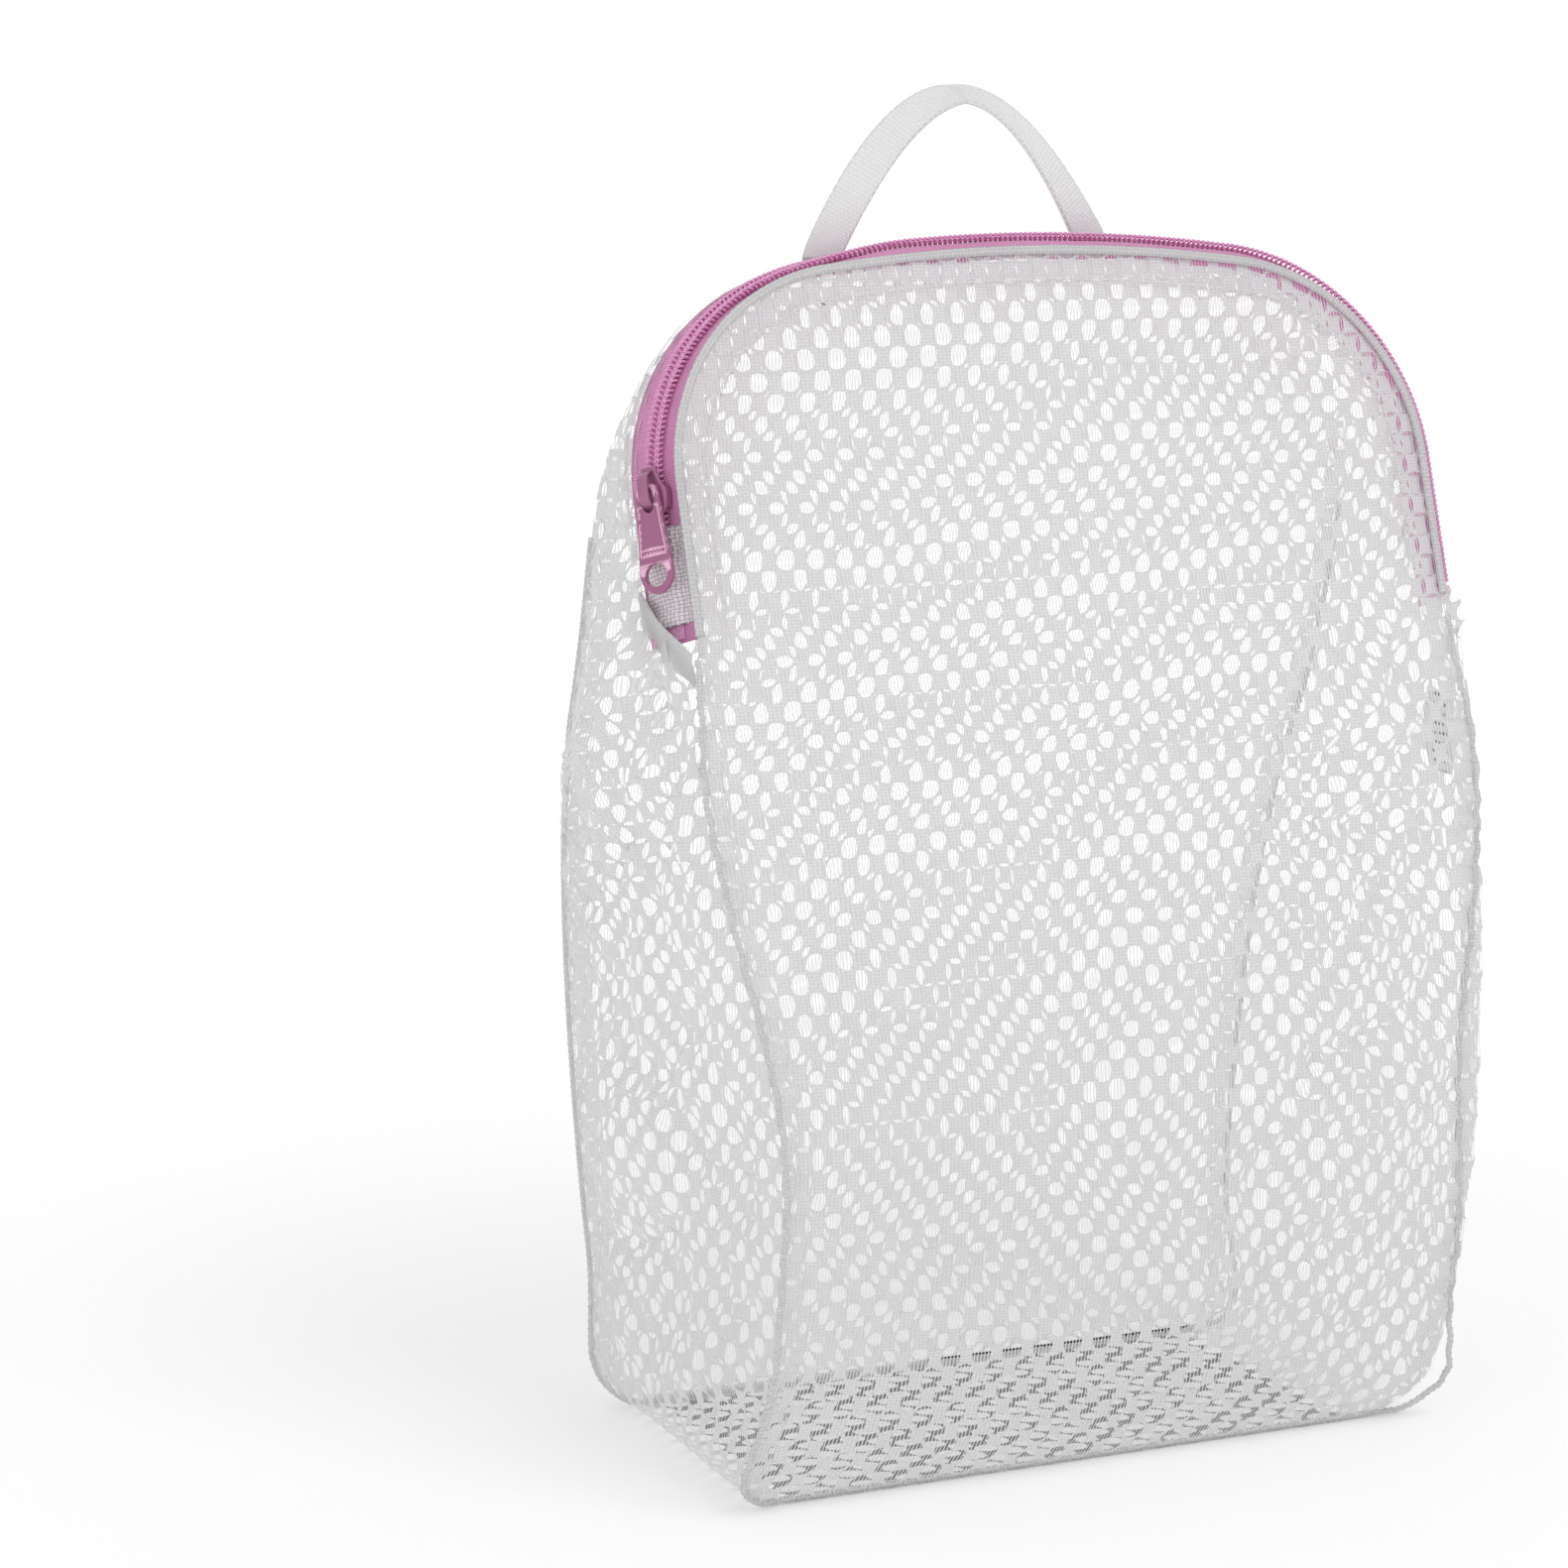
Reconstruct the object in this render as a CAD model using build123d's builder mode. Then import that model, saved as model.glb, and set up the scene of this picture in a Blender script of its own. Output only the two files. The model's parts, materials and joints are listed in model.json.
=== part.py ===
"""Mesh laundry bag: a tall pouch of holed net with a zip round its top and a webbing loop.

Frame: +X across the bag, +Y towards the back, +Z up, origin in the middle of the base.
The zip runs in a plane that leans back, as an upside-down U from one side to the other.
"""
from build123d import *
from math import cos, sin, sqrt, radians, atan2, pi
import os

os.makedirs("parts", exist_ok=True)

# ---- driving dimensions, in mm -------------------------------------------------------
net = 0.8                    # thickness of one layer of net
base_half_width = 99.0       # half the width at the floor
side_half_width = 115.0      # half the width where the sides turn upright
side_upright_height = 195.0  # height from which the sides are upright
base_corner = 16.0           # rounding of the two bottom corners, seen from the front
zip_end_height = 222.0       # height of the two ends of the zip
zip_lean = 18.0              # lean of the zip's plane towards the back, degrees
zip_end_y = -33.1            # where the zip's centre line starts, front to back
rim_rise = 107.2             # from the zip's ends to its crest, within its plane
rim_corner = 60.0            # radius of the rim's two corners
rim_crown = 480.0            # radius of the rim's gently arched top
tape_front = 7.0             # reach of the zip tape towards the front, from the centre line
tape_back = 7.8              # reach of the zip tape towards the back
tape_thick = 0.6
tape_gap = 1.1               # half the slot between the two tapes
tape_start = 4.0             # the bare tape begins this far above the zip's end
coil_reach = 3.2             # outer edge of each row of coil, from the centre line
coil_height = 2.4
coil_start = 34.5            # the coil begins this far above the zip's end
hem_width = 10.0             # doubled edge of the front panel along the zip
back_hem_width = 7.5         # doubled edge of the back along the zip
fold_height = 54.0           # where the front flap hinges, above the zip's ends
fold_gap = 0.2               # half the gap between the flap and the rest of the front
guard_low = 9.0              # the elastic guard runs from here
guard_high = 33.5            # to here, above the zip's ends
guard_thick = 1.0
tack_height = 2.4            # thread bars that close the two ends of the zip
slider_half_length = 7.0
slider_half_width = 5.4
slider_plate = 1.2
slider_corner = 2.4          # rounding of the slider's plates
flange_thick = 1.2
post_half_width = 0.8        # the post that parts the two rows of coil
bridge_half_length = 5.2     # the bridge on the slider that holds the puller
bridge_wall = 1.5
bridge_width = 2.4
bridge_rise = 3.8
puller_length = 27.0
puller_thick = 1.5
puller_narrow = 6.4          # width near the slider
puller_wide = 9.6            # width near the ring end
puller_hole = 2.9            # radius of the hole near its end
pivot_bar = 0.75             # radius of the bar that turns in the bridge
handle_middle = -13.0        # middle of the loop, left of the bag's middle
handle_half_span = 39.0
handle_rise = 42.0
webbing_width = 10.0
webbing_thick = 1.2
ridge = 1.5                  # how far a seam stands out from the panels
label_width = 12.0
label_height = 22.0
label_middle = (-39.0, 190.0)

front_edge = [(-47, 0), (-60, 18), (-69, 70), (-66, 120), (-57, 170)]
back_edge = [(46, 0), (54, 20), (58, 80), (50, 157), (28, 222), (15, 275)]

# ---- reference geometry ----------------------------------------------------------------
lean_sin = sin(radians(zip_lean))
lean_cos = cos(radians(zip_lean))
zip_plane = Plane(origin=(0, zip_end_y, zip_end_height), x_dir=(1, 0, 0), z_dir=(0, -lean_cos, lean_sin))
rim_centre_x = side_half_width - rim_corner
crown_drop = sqrt((rim_crown - rim_corner) ** 2 - rim_centre_x**2)
corner_height = rim_rise - (rim_crown - crown_drop)
panel_face = tape_front + net             # the front panel's outer face, ahead of the zip's plane
hem_face = panel_face + net               # the hem's outer face
gusset_top = corner_height + 0.7 * rim_corner   # the gusset strip runs out here, on both sides
out_of_bag = 100.0                        # longer than the bag is deep


def zip_point(across, up, back=0.0):
    """A point from its place in the zip's plane and its distance behind that plane."""
    return zip_plane.from_local_coords(Vector(across, up, -back))


def level_plane(up):
    """Plane square to the zip's plane, at a height measured along it."""
    return Plane(origin=zip_point(0, up), x_dir=(1, 0, 0), z_dir=(0, lean_sin, lean_cos))


def rim_face(grow, back, foot=0.0):
    """Face bounded by the rim grown outwards, at a distance behind the zip's plane."""
    leg = side_half_width + grow
    reach = rim_corner + grow
    tangent_x = rim_centre_x * (1 + reach / (rim_crown - rim_corner))
    tangent_y = corner_height + reach * crown_drop / (rim_crown - rim_corner)
    half_turn = atan2(tangent_y - corner_height, tangent_x - rim_centre_x) / 2
    middle_x = rim_centre_x + reach * cos(half_turn)
    middle_y = corner_height + reach * sin(half_turn)
    with BuildSketch(zip_plane.offset(-back)) as face:
        with BuildLine():
            Polyline((-leg, corner_height), (-leg, foot), (leg, foot), (leg, corner_height))
            ThreePointArc((leg, corner_height), (middle_x, middle_y), (tangent_x, tangent_y))
            ThreePointArc((tangent_x, tangent_y), (0, rim_rise + grow), (-tangent_x, tangent_y))
            ThreePointArc((-tangent_x, tangent_y), (-middle_x, middle_y), (-leg, corner_height))
        make_face()
    return face.sketch


def rim_band(inner, outer, back, foot=0.0):
    """Open band along the rim, between two distances from its line."""
    return rim_face(outer, back, foot) - rim_face(inner, back, foot - 5)


def body_face(grow):
    """Outline of the lower body from the front, on a plane ahead of the bag."""
    low = base_half_width + grow
    high = side_half_width + grow
    top = zip_end_height + 20
    with BuildSketch(Plane.XZ.offset(out_of_bag)) as face:
        with BuildLine():
            Polyline((-high, top), (-high, side_upright_height), (-low, -grow), (low, -grow),
                     (high, side_upright_height), (high, top), close=True)
        make_face()
        fillet(face.vertices().group_by(Axis.Y)[0], base_corner + grow)
    return face.sketch


def front_curve(shift):
    """Side view of the front panel, from the floor to the zip's ends."""
    top = zip_point(0, 0, -panel_face)
    points = [(y + shift, z) for y, z in front_edge] + [(top.Y + shift, top.Z)]
    return Spline(points, tangents=[(-0.9, 1), (lean_sin, lean_cos)])


def back_curve(shift):
    """Side view of the back panel, from the floor to the zip's back edge at its crest."""
    top = zip_point(0, rim_rise, tape_back)
    points = [(y - shift, z) for y, z in back_edge] + [(top.Y - shift, top.Z)]
    return Spline(points)


def front_sheet_face(near, far):
    """Side view of a layer along the front panel, from one depth behind its face to another."""
    with BuildSketch(Plane.YZ.offset(-out_of_bag * 1.3)) as face:
        with BuildLine():
            outer = front_curve(near)
            inner = front_curve(far)
            Line(outer @ 0, inner @ 0)
            Line(outer @ 1, inner @ 1)
        make_face()
    return face.sketch


def back_sheet_face(near, far):
    """Side view of a layer along the back panel, from one depth inside its face to another."""
    with BuildSketch(Plane.YZ.offset(-out_of_bag * 1.3)) as face:
        with BuildLine():
            outer = back_curve(near)
            inner = back_curve(far)
            Line(outer @ 0, inner @ 0)
            Line(outer @ 1, inner @ 1)
        make_face()
    return face.sketch


def depth_face(front_shift, back_shift):
    """Side view of all that lies between the front and back panels."""
    with BuildSketch(Plane.YZ.offset(-out_of_bag * 1.3)) as face:
        with BuildLine():
            front = front_curve(front_shift)
            back = back_curve(back_shift)
            ahead = zip_point(0, rim_rise, -panel_face)
            Line(front @ 0, back @ 0)
            Polyline(front @ 1, (ahead.Y + front_shift, ahead.Z), back @ 1)
        make_face()
    return face.sketch


def save(part, name):
    """Label a finished piece and write it to its own file."""
    part.label = name
    export_step(part, f"parts/{name}.step")


across = 2.6 * out_of_bag     # wider than the bag, for side views drawn through it
outline = extrude(body_face(0), amount=-2 * out_of_bag)
outline_inside = extrude(body_face(-net), amount=-2 * out_of_bag)
hood = extrude(rim_face(0, tape_back), amount=-out_of_bag)

# ---- gusset strip: one long strip up one side, under the base and up the other ----------
with BuildPart() as lower_gusset:
    add(outline)
    add(outline_inside, mode=Mode.SUBTRACT)
    extrude(depth_face(net, net), amount=across, mode=Mode.INTERSECT)
    split(bisect_by=level_plane(0), keep=Keep.BOTTOM)
with BuildPart() as gusset_strip:
    extrude(rim_band(-net, 0, tape_back), amount=-out_of_bag)
    extrude(depth_face(net, net), amount=across, mode=Mode.INTERSECT)
    split(bisect_by=level_plane(gusset_top), keep=Keep.BOTTOM)
    add(lower_gusset.part)
save(gusset_strip.part, "gusset_strip")

# ---- back panel -------------------------------------------------------------------------
with BuildPart() as back_lower:
    extrude(back_sheet_face(0, net), amount=across)
    add(outline, mode=Mode.INTERSECT)
    split(bisect_by=level_plane(0), keep=Keep.BOTTOM)
with BuildPart() as back_panel:
    extrude(back_sheet_face(0, net), amount=across)
    add(hood, mode=Mode.INTERSECT)
    add(back_lower.part)
save(back_panel.part, "back_panel")

# ---- front panel: the lower part stays, the upper part folds down when the zip is open ---
with BuildPart() as front_lower:
    extrude(front_sheet_face(0, net), amount=across)
    add(outline, mode=Mode.INTERSECT)
with BuildPart() as front_panel_lower:
    extrude(rim_face(0, -tape_front), amount=net)
    split(bisect_by=level_plane(fold_height - fold_gap), keep=Keep.BOTTOM)
    add(front_lower.part)
save(front_panel_lower.part, "front_panel_lower")

with BuildPart() as front_panel_flap:
    extrude(rim_face(0, -tape_front), amount=net)
    split(bisect_by=level_plane(fold_height + fold_gap), keep=Keep.TOP)
save(front_panel_flap.part, "front_panel_flap")

# ---- seam bindings: where the panels are sewn to the gusset strip -----------------------
with BuildPart() as front_seam_binding:
    extrude(front_sheet_face(-ridge, 0), amount=across)
    add(outline, mode=Mode.INTERSECT)
    add(extrude(body_face(-2 * ridge), amount=-2 * out_of_bag), mode=Mode.SUBTRACT)
save(front_seam_binding.part, "front_seam_binding")

with BuildPart() as back_seam_lower:
    extrude(back_sheet_face(-ridge, 0), amount=across)
    add(outline, mode=Mode.INTERSECT)
    add(extrude(body_face(-2 * ridge), amount=-2 * out_of_bag), mode=Mode.SUBTRACT)
    split(bisect_by=level_plane(0), keep=Keep.BOTTOM)
with BuildPart() as back_seam_binding:
    extrude(rim_band(-2 * ridge, 0, tape_back), amount=-out_of_bag)
    extrude(back_sheet_face(-ridge, 0), amount=across, mode=Mode.INTERSECT)
    split(bisect_by=level_plane(gusset_top), keep=Keep.BOTTOM)
    add(back_seam_lower.part)
save(back_seam_binding.part, "back_seam_binding")


def keep_leg(side, top):
    """Cut the rim piece being made down to one of its two legs, below a height along the rim."""
    split(bisect_by=level_plane(top), keep=Keep.BOTTOM)
    split(bisect_by=Plane.YZ, keep=Keep.TOP if side > 0 else Keep.BOTTOM)


# ---- hems: the doubled edges along the zip ----------------------------------------------
with BuildPart() as front_hem_flap:
    extrude(rim_band(-hem_width, 0, -panel_face), amount=net)
    split(bisect_by=level_plane(fold_height + fold_gap), keep=Keep.TOP)
save(front_hem_flap.part, "front_hem_flap")

with BuildPart() as back_hem:
    extrude(rim_band(0, net, tape_back), amount=-back_hem_width)
save(back_hem.part, "back_hem")

# ---- zip: two woven tapes, each with a row of nylon coil --------------------------------
with BuildPart() as zip_tape_back:
    extrude(rim_band(-tape_thick, 0, tape_gap, tape_start), amount=tape_gap - tape_back)
save(zip_tape_back.part, "zip_tape_back")

with BuildPart() as zip_coil_back:
    extrude(rim_band(0, coil_height, tape_gap, coil_start), amount=tape_gap - coil_reach)
save(zip_coil_back.part, "zip_coil_back")

with BuildPart() as zip_tape_front_flap:
    extrude(rim_band(-tape_thick, 0, -tape_gap), amount=tape_front - tape_gap)
    split(bisect_by=level_plane(fold_height + fold_gap), keep=Keep.TOP)
save(zip_tape_front_flap.part, "zip_tape_front_flap")

with BuildPart() as zip_coil_front_flap:
    extrude(rim_band(0, coil_height, -tape_gap), amount=coil_reach - tape_gap)
    split(bisect_by=level_plane(fold_height + fold_gap), keep=Keep.TOP)
save(zip_coil_front_flap.part, "zip_coil_front_flap")

# The same three strips below the fold, one of each on either leg of the rim.
for side, side_name in ((-1, "left"), (1, "right")):
    with BuildPart() as front_hem_end:
        extrude(rim_band(-hem_width, 0, -panel_face), amount=net)
        keep_leg(side, fold_height - fold_gap)
    save(front_hem_end.part, f"front_hem_{side_name}")

    with BuildPart() as tape_end:
        extrude(rim_band(-tape_thick, 0, -tape_gap, tape_start), amount=tape_front - tape_gap)
        keep_leg(side, fold_height - fold_gap)
    save(tape_end.part, f"zip_tape_front_{side_name}")

    with BuildPart() as coil_end:
        extrude(rim_band(0, coil_height, -tape_gap, coil_start), amount=coil_reach - tape_gap)
        keep_leg(side, fold_height - fold_gap)
    save(coil_end.part, f"zip_coil_front_{side_name}")

# ---- thread bars across both ends of the zip --------------------------------------------
with BuildPart() as zip_end_tacks:
    extrude(rim_band(0, net, -coil_reach, tape_start), amount=-2 * coil_reach)
    split(bisect_by=level_plane(tape_start + tack_height), keep=Keep.BOTTOM)
save(zip_end_tacks.part, "zip_end_tacks")

# ---- elastic guard over the left end of the zip, where the puller is tucked -------------
with BuildPart() as zip_elastic_guard:
    extrude(rim_band(0, guard_thick, -tape_front, guard_low), amount=-(tape_front + tape_back))
    keep_leg(-1, guard_high)
save(zip_elastic_guard.part, "zip_elastic_guard")

# ---- slider: one casting that rides on the coil, with a bridge for the puller -----------
# Drawn from the side: x outwards from the tape, y up along the zip, on the left leg.
slider_plane = Plane(origin=zip_point(-side_half_width, corner_height), x_dir=(-1, 0, 0),
                     z_dir=(0, lean_cos, -lean_sin))
top_plate_low = coil_height + 0.9
top_plate_high = top_plate_low + slider_plate
bottom_plate_high = -tape_thick - 0.7
bottom_plate_low = bottom_plate_high - slider_plate
pivot_out = top_plate_high + pivot_bar + 0.4
with BuildPart() as slider_body:
    with BuildSketch(slider_plane.offset(-slider_half_width)):
        with Locations(((top_plate_low + top_plate_high) / 2, 0),
                       ((bottom_plate_low + bottom_plate_high) / 2, 0)):
            Rectangle(slider_plate, 2 * slider_half_length)
    extrude(amount=2 * slider_half_width)
    fillet(slider_body.edges().filter_by(Axis.X), slider_corner)
    for edge in (-slider_half_width, slider_half_width - flange_thick):
        with BuildSketch(slider_plane.offset(edge)):
            with Locations((top_plate_low / 2 + 0.35, 0)):
                Rectangle(top_plate_low - 0.7, 2 * slider_half_length - 5)
        extrude(amount=flange_thick)
    with BuildSketch(slider_plane.offset(-post_half_width)):
        with Locations(((top_plate_low + bottom_plate_high) / 2, -slider_half_length + 3)):
            Rectangle(top_plate_low - bottom_plate_high, 3)
    extrude(amount=2 * post_half_width)
    with BuildSketch(slider_plane.offset(-bridge_width / 2)):
        with Locations((top_plate_high, 0)):
            Rectangle(bridge_rise, 2 * bridge_half_length, align=(Align.MIN, Align.CENTER))
            Rectangle(bridge_rise - bridge_wall, 2 * (bridge_half_length - bridge_wall),
                      align=(Align.MIN, Align.CENTER), mode=Mode.SUBTRACT)
    extrude(amount=bridge_width)
save(slider_body.part, "slider_body")

# ---- puller: a tapered tab with a hole near its end, hung from a bar in the bridge ------
puller_plane = Plane(origin=slider_plane.from_local_coords(Vector(pivot_out, 0, 0)),
                     x_dir=(0, lean_cos, -lean_sin), z_dir=(1, 0, 0))
arm_low = -bridge_half_length - 1.4
with BuildPart() as slider_puller:
    with BuildSketch(puller_plane.offset(-puller_thick / 2)) as tab:
        with BuildLine():
            Polyline((-puller_narrow / 2, 0), (-puller_wide / 2, -puller_length + puller_wide / 2))
            ThreePointArc((-puller_wide / 2, -puller_length + puller_wide / 2), (0, -puller_length),
                          (puller_wide / 2, -puller_length + puller_wide / 2))
            Polyline((puller_wide / 2, -puller_length + puller_wide / 2), (puller_narrow / 2, 0),
                     (-puller_narrow / 2, 0))
        make_face()
        with Locations((0, -puller_length + puller_wide / 2)):
            Circle(puller_hole, mode=Mode.SUBTRACT)
        with Locations((0, 0)):
            Rectangle(bridge_width + 0.8, -arm_low * 2, mode=Mode.SUBTRACT)
    extrude(amount=puller_thick)
    with BuildSketch(slider_plane.offset(-puller_narrow / 2)):
        with Locations((pivot_out, 0)):
            Circle(pivot_bar)
    extrude(amount=puller_narrow)
save(slider_puller.part, "slider_puller")

# ---- handle: webbing sewn flat behind the zip, turning edge-on over the top -------------
stations = 12
foot_back = tape_back + 3.0               # how far behind the zip's centre line the ends are sewn
foot_lift = 1.6                           # the loose part of the loop begins this far above the hem


def rim_drop(x):
    """How far the arched top of the rim lies below its crest."""
    return rim_crown - sqrt(rim_crown**2 - x**2)


def loop_point(turn):
    """A point on the middle line of the loop, for a turn of 0 to pi from its left foot."""
    x = handle_middle - handle_half_span * cos(turn) * abs(cos(turn)) ** 0.35
    foot = zip_point(x, rim_rise - rim_drop(x) + net, foot_back)
    return Vector(x, foot.Y, foot.Z + foot_lift + (handle_rise - foot_lift) * sin(turn) ** 1.1)


with BuildPart() as handle_webbing:
    for station in range(stations + 1):
        turn = pi * station / stations
        before = loop_point(max(turn - 0.05, 0))
        after = loop_point(min(turn + 0.05, pi))
        along = (after - before).normalized()
        across_path = Vector(-along.Z, 0, along.X)
        twist = min(turn, pi - turn)
        width_direction = across_path * cos(twist) + Vector(0, 1, 0) * sin(twist)
        with BuildSketch(Plane(origin=loop_point(turn), x_dir=width_direction, z_dir=along)):
            Rectangle(webbing_width, webbing_thick)
    loft()
save(handle_webbing.part, "handle_webbing")

with BuildPart() as handle_tacks:
    extrude(rim_band(net, net + tape_thick, foot_back - 1.2), amount=-2.4)
    with Locations(*[zip_point(handle_middle + end * handle_half_span, rim_rise, foot_back)
                     for end in (-1, 1)]):
        Box(webbing_width, 30, 30, mode=Mode.INTERSECT)
save(handle_tacks.part, "handle_tacks")

# ---- care label, hung inside the right side from the front seam -------------------------
label_y, label_z = label_middle
with BuildPart() as care_label:
    with BuildSketch(Plane.YZ.offset(side_half_width - 3.2)):
        with Locations((label_y, label_z)):
            Rectangle(label_width, label_height)
    extrude(amount=0.3)
save(care_label.part, "care_label")
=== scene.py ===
import json
import math
import bmesh
import bpy
from mathutils import Matrix, Vector, noise


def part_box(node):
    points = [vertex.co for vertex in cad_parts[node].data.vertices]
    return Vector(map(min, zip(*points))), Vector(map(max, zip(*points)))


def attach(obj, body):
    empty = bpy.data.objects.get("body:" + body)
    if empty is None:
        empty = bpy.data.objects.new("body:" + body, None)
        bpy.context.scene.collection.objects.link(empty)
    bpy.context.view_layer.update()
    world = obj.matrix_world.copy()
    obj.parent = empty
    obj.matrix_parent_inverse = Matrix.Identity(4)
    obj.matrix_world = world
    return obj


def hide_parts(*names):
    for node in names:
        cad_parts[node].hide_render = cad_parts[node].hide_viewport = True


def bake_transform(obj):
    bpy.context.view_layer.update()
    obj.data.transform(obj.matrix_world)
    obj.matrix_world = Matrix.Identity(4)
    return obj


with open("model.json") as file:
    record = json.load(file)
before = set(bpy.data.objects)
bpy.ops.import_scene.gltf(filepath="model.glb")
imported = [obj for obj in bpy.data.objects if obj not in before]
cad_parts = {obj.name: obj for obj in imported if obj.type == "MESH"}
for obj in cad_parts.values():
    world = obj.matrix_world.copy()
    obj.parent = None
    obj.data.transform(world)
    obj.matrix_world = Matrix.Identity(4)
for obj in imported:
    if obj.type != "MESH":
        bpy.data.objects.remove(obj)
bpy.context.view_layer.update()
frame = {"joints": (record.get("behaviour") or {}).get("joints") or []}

# ---- Camera ------------------------------------------------------------------------------
# Stands at the left front of the bag, a little above it, and looks past its left side, so
# that the bag fills the right-hand part of the picture.
camera = bpy.data.objects.new("camera", bpy.data.cameras.new("camera"))
bpy.context.collection.objects.link(camera)
bpy.context.scene.camera = camera
camera.data.lens = 100
turn = math.radians(-28)
climb = math.radians(10)
camera_away = 1.18
framed_left = 0.0687
framed_up = 0.0136
bag_middle = Vector((0, -0.014, 0.165))
backwards = Vector((math.sin(turn) * math.cos(climb), -math.cos(turn) * math.cos(climb),
                    math.sin(climb)))
camera.location = bag_middle + camera_away * backwards
rightwards = Vector((math.cos(turn), math.sin(turn), 0))
upwards = backwards.cross(rightwards)
looked_at = bag_middle - framed_left * rightwards + framed_up * upwards
camera.rotation_euler = (camera.location - looked_at).to_track_quat("Z", "Y").to_euler()

# ---- Floor and light ---------------------------------------------------------------------
# A pale floor that glows, less near the bag so that painted shade lies round it, and that runs out
# to a white surround, one large soft lamp above and to the left, a weaker one in front, and even
# light from all round.
floor_half = 6
floor_white = (0.9, 0.9, 0.9, 1)
# The floor's glow is painted light: weakest near the bag, which paints a shade round it, and strongest
# far off.
glow_near, glow_far = 0.25, 1.1
glow_low, glow_high = 0.10, 0.32
surround_light = 0.83
surround_seen = 1.0
floor_mesh = bpy.data.meshes.new("floor")
sheet = bmesh.new()
bmesh.ops.create_grid(sheet, x_segments=1, y_segments=1, size=floor_half)
sheet.to_mesh(floor_mesh)
sheet.free()
floor = bpy.data.objects.new("floor", floor_mesh)
bpy.context.collection.objects.link(floor)
floor_paint = bpy.data.materials.new("floor_paint")
floor_paint.use_nodes = True
floor_look = floor_paint.node_tree.nodes["Principled BSDF"]
floor_look.inputs["Base Color"].default_value = floor_white
floor_look.inputs["Roughness"].default_value = 0.8
floor_look.inputs["Emission Color"].default_value = (1, 1, 1, 1)
floor_spot = floor_paint.node_tree.nodes.new("ShaderNodeTexCoord")
floor_reach = floor_paint.node_tree.nodes.new("ShaderNodeVectorMath")
floor_reach.operation = "LENGTH"
floor_glow = floor_paint.node_tree.nodes.new("ShaderNodeMapRange")
floor_glow.inputs["From Min"].default_value = glow_near
floor_glow.inputs["From Max"].default_value = glow_far
floor_glow.inputs["To Min"].default_value = glow_low
floor_glow.inputs["To Max"].default_value = glow_high
floor_paint.node_tree.links.new(floor_spot.outputs["Object"], floor_reach.inputs[0])
floor_paint.node_tree.links.new(floor_reach.outputs["Value"], floor_glow.inputs["Value"])
floor_paint.node_tree.links.new(floor_glow.outputs["Result"], floor_look.inputs["Emission Strength"])
floor_mesh.materials.append(floor_paint)

world = bpy.data.worlds.new("surround")
bpy.context.scene.world = world
world.use_nodes = True
surround = world.node_tree.nodes["Background"]
seen = world.node_tree.nodes.new("ShaderNodeLightPath")
surround_strength = world.node_tree.nodes.new("ShaderNodeMapRange")
surround_strength.inputs["To Min"].default_value = surround_light
surround_strength.inputs["To Max"].default_value = surround_seen
world.node_tree.links.new(seen.outputs["Is Camera Ray"], surround_strength.inputs["Value"])
world.node_tree.links.new(surround_strength.outputs["Result"], surround.inputs["Strength"])
surround.inputs["Color"].default_value = (1, 1, 1, 1)
bpy.context.scene.view_settings.view_transform = "Standard"


def softbox(name, place, size, power):
    """A square area lamp that faces the bag."""
    lamp = bpy.data.lights.new(name, "AREA")
    lamp.size = size
    lamp.energy = power
    holder = bpy.data.objects.new(name, lamp)
    bpy.context.collection.objects.link(holder)
    holder.location = place
    holder.rotation_euler = (Vector(place) - bag_middle).to_track_quat("Z", "Y").to_euler()


softbox("key_lamp", (0.3, -1.1, 1.9), size=0.9, power=9)
softbox("fill_lamp", (-1.5, -0.8, 0.8), size=1.2, power=2.0)

# ---- Shape of the bag --------------------------------------------------------------------
# The panels are sewn along the outline of the frame: sides that widen upwards, two rounded
# bottom corners, and a rim that leans back and is arched like an upside-down U.
joints = {joint["name"]: joint for joint in frame["joints"]}
rim_back = Vector(joints["slider_travel"]["axis"])
rim_up = Vector((1, 0, 0)).cross(rim_back)
corner_centre = Vector(joints["slider_travel"]["pos_m"])
half_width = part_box("gusset_strip")[1][0]
corner_radius = half_width + corner_centre.x
corner_rise = 0.04357
crown_radius = 0.480
tape_front = 0.0070
tape_back = 0.0078
panel_gap = 0.0006
rim_foot = corner_centre - Vector((corner_centre.x, 0, 0)) - corner_rise * rim_up
crown_angle = math.asin((half_width - corner_radius) / (crown_radius - corner_radius))
corner_length = corner_radius * (math.pi / 2 - crown_angle)
crown_length = crown_radius * 2 * crown_angle
rim_length = 2 * corner_rise + 2 * corner_length + crown_length
crown_centre = corner_rise - (half_width - corner_radius) / math.tan(crown_angle)
crest = crown_centre + crown_radius


def rim_flat(along):
    """Place across and up the rim's plane, and the outward direction, at a length from its left end."""
    mirrored = along > rim_length / 2
    if mirrored:
        along = rim_length - along
    if along < corner_rise:
        spot = (-half_width, along, -1.0, 0.0)
    elif along < corner_rise + corner_length:
        angle = math.pi - (along - corner_rise) / corner_radius
        spot = (corner_radius - half_width + corner_radius * math.cos(angle),
                corner_rise + corner_radius * math.sin(angle), math.cos(angle), math.sin(angle))
    else:
        angle = math.pi / 2 + crown_angle - (along - corner_rise - corner_length) / crown_radius
        spot = (crown_radius * math.cos(angle), crown_centre + crown_radius * math.sin(angle),
                math.cos(angle), math.sin(angle))
    return (-spot[0], spot[1], -spot[2], spot[3]) if mirrored else spot


def on_rim(along, out, back):
    """A point near the rim, from its length along it, its height off it and its depth behind it."""
    x, rise, out_x, out_up = rim_flat(along)
    return rim_foot + Vector((x + out * out_x, 0, 0)) + (rise + out * out_up) * rim_up + back * rim_back


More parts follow.
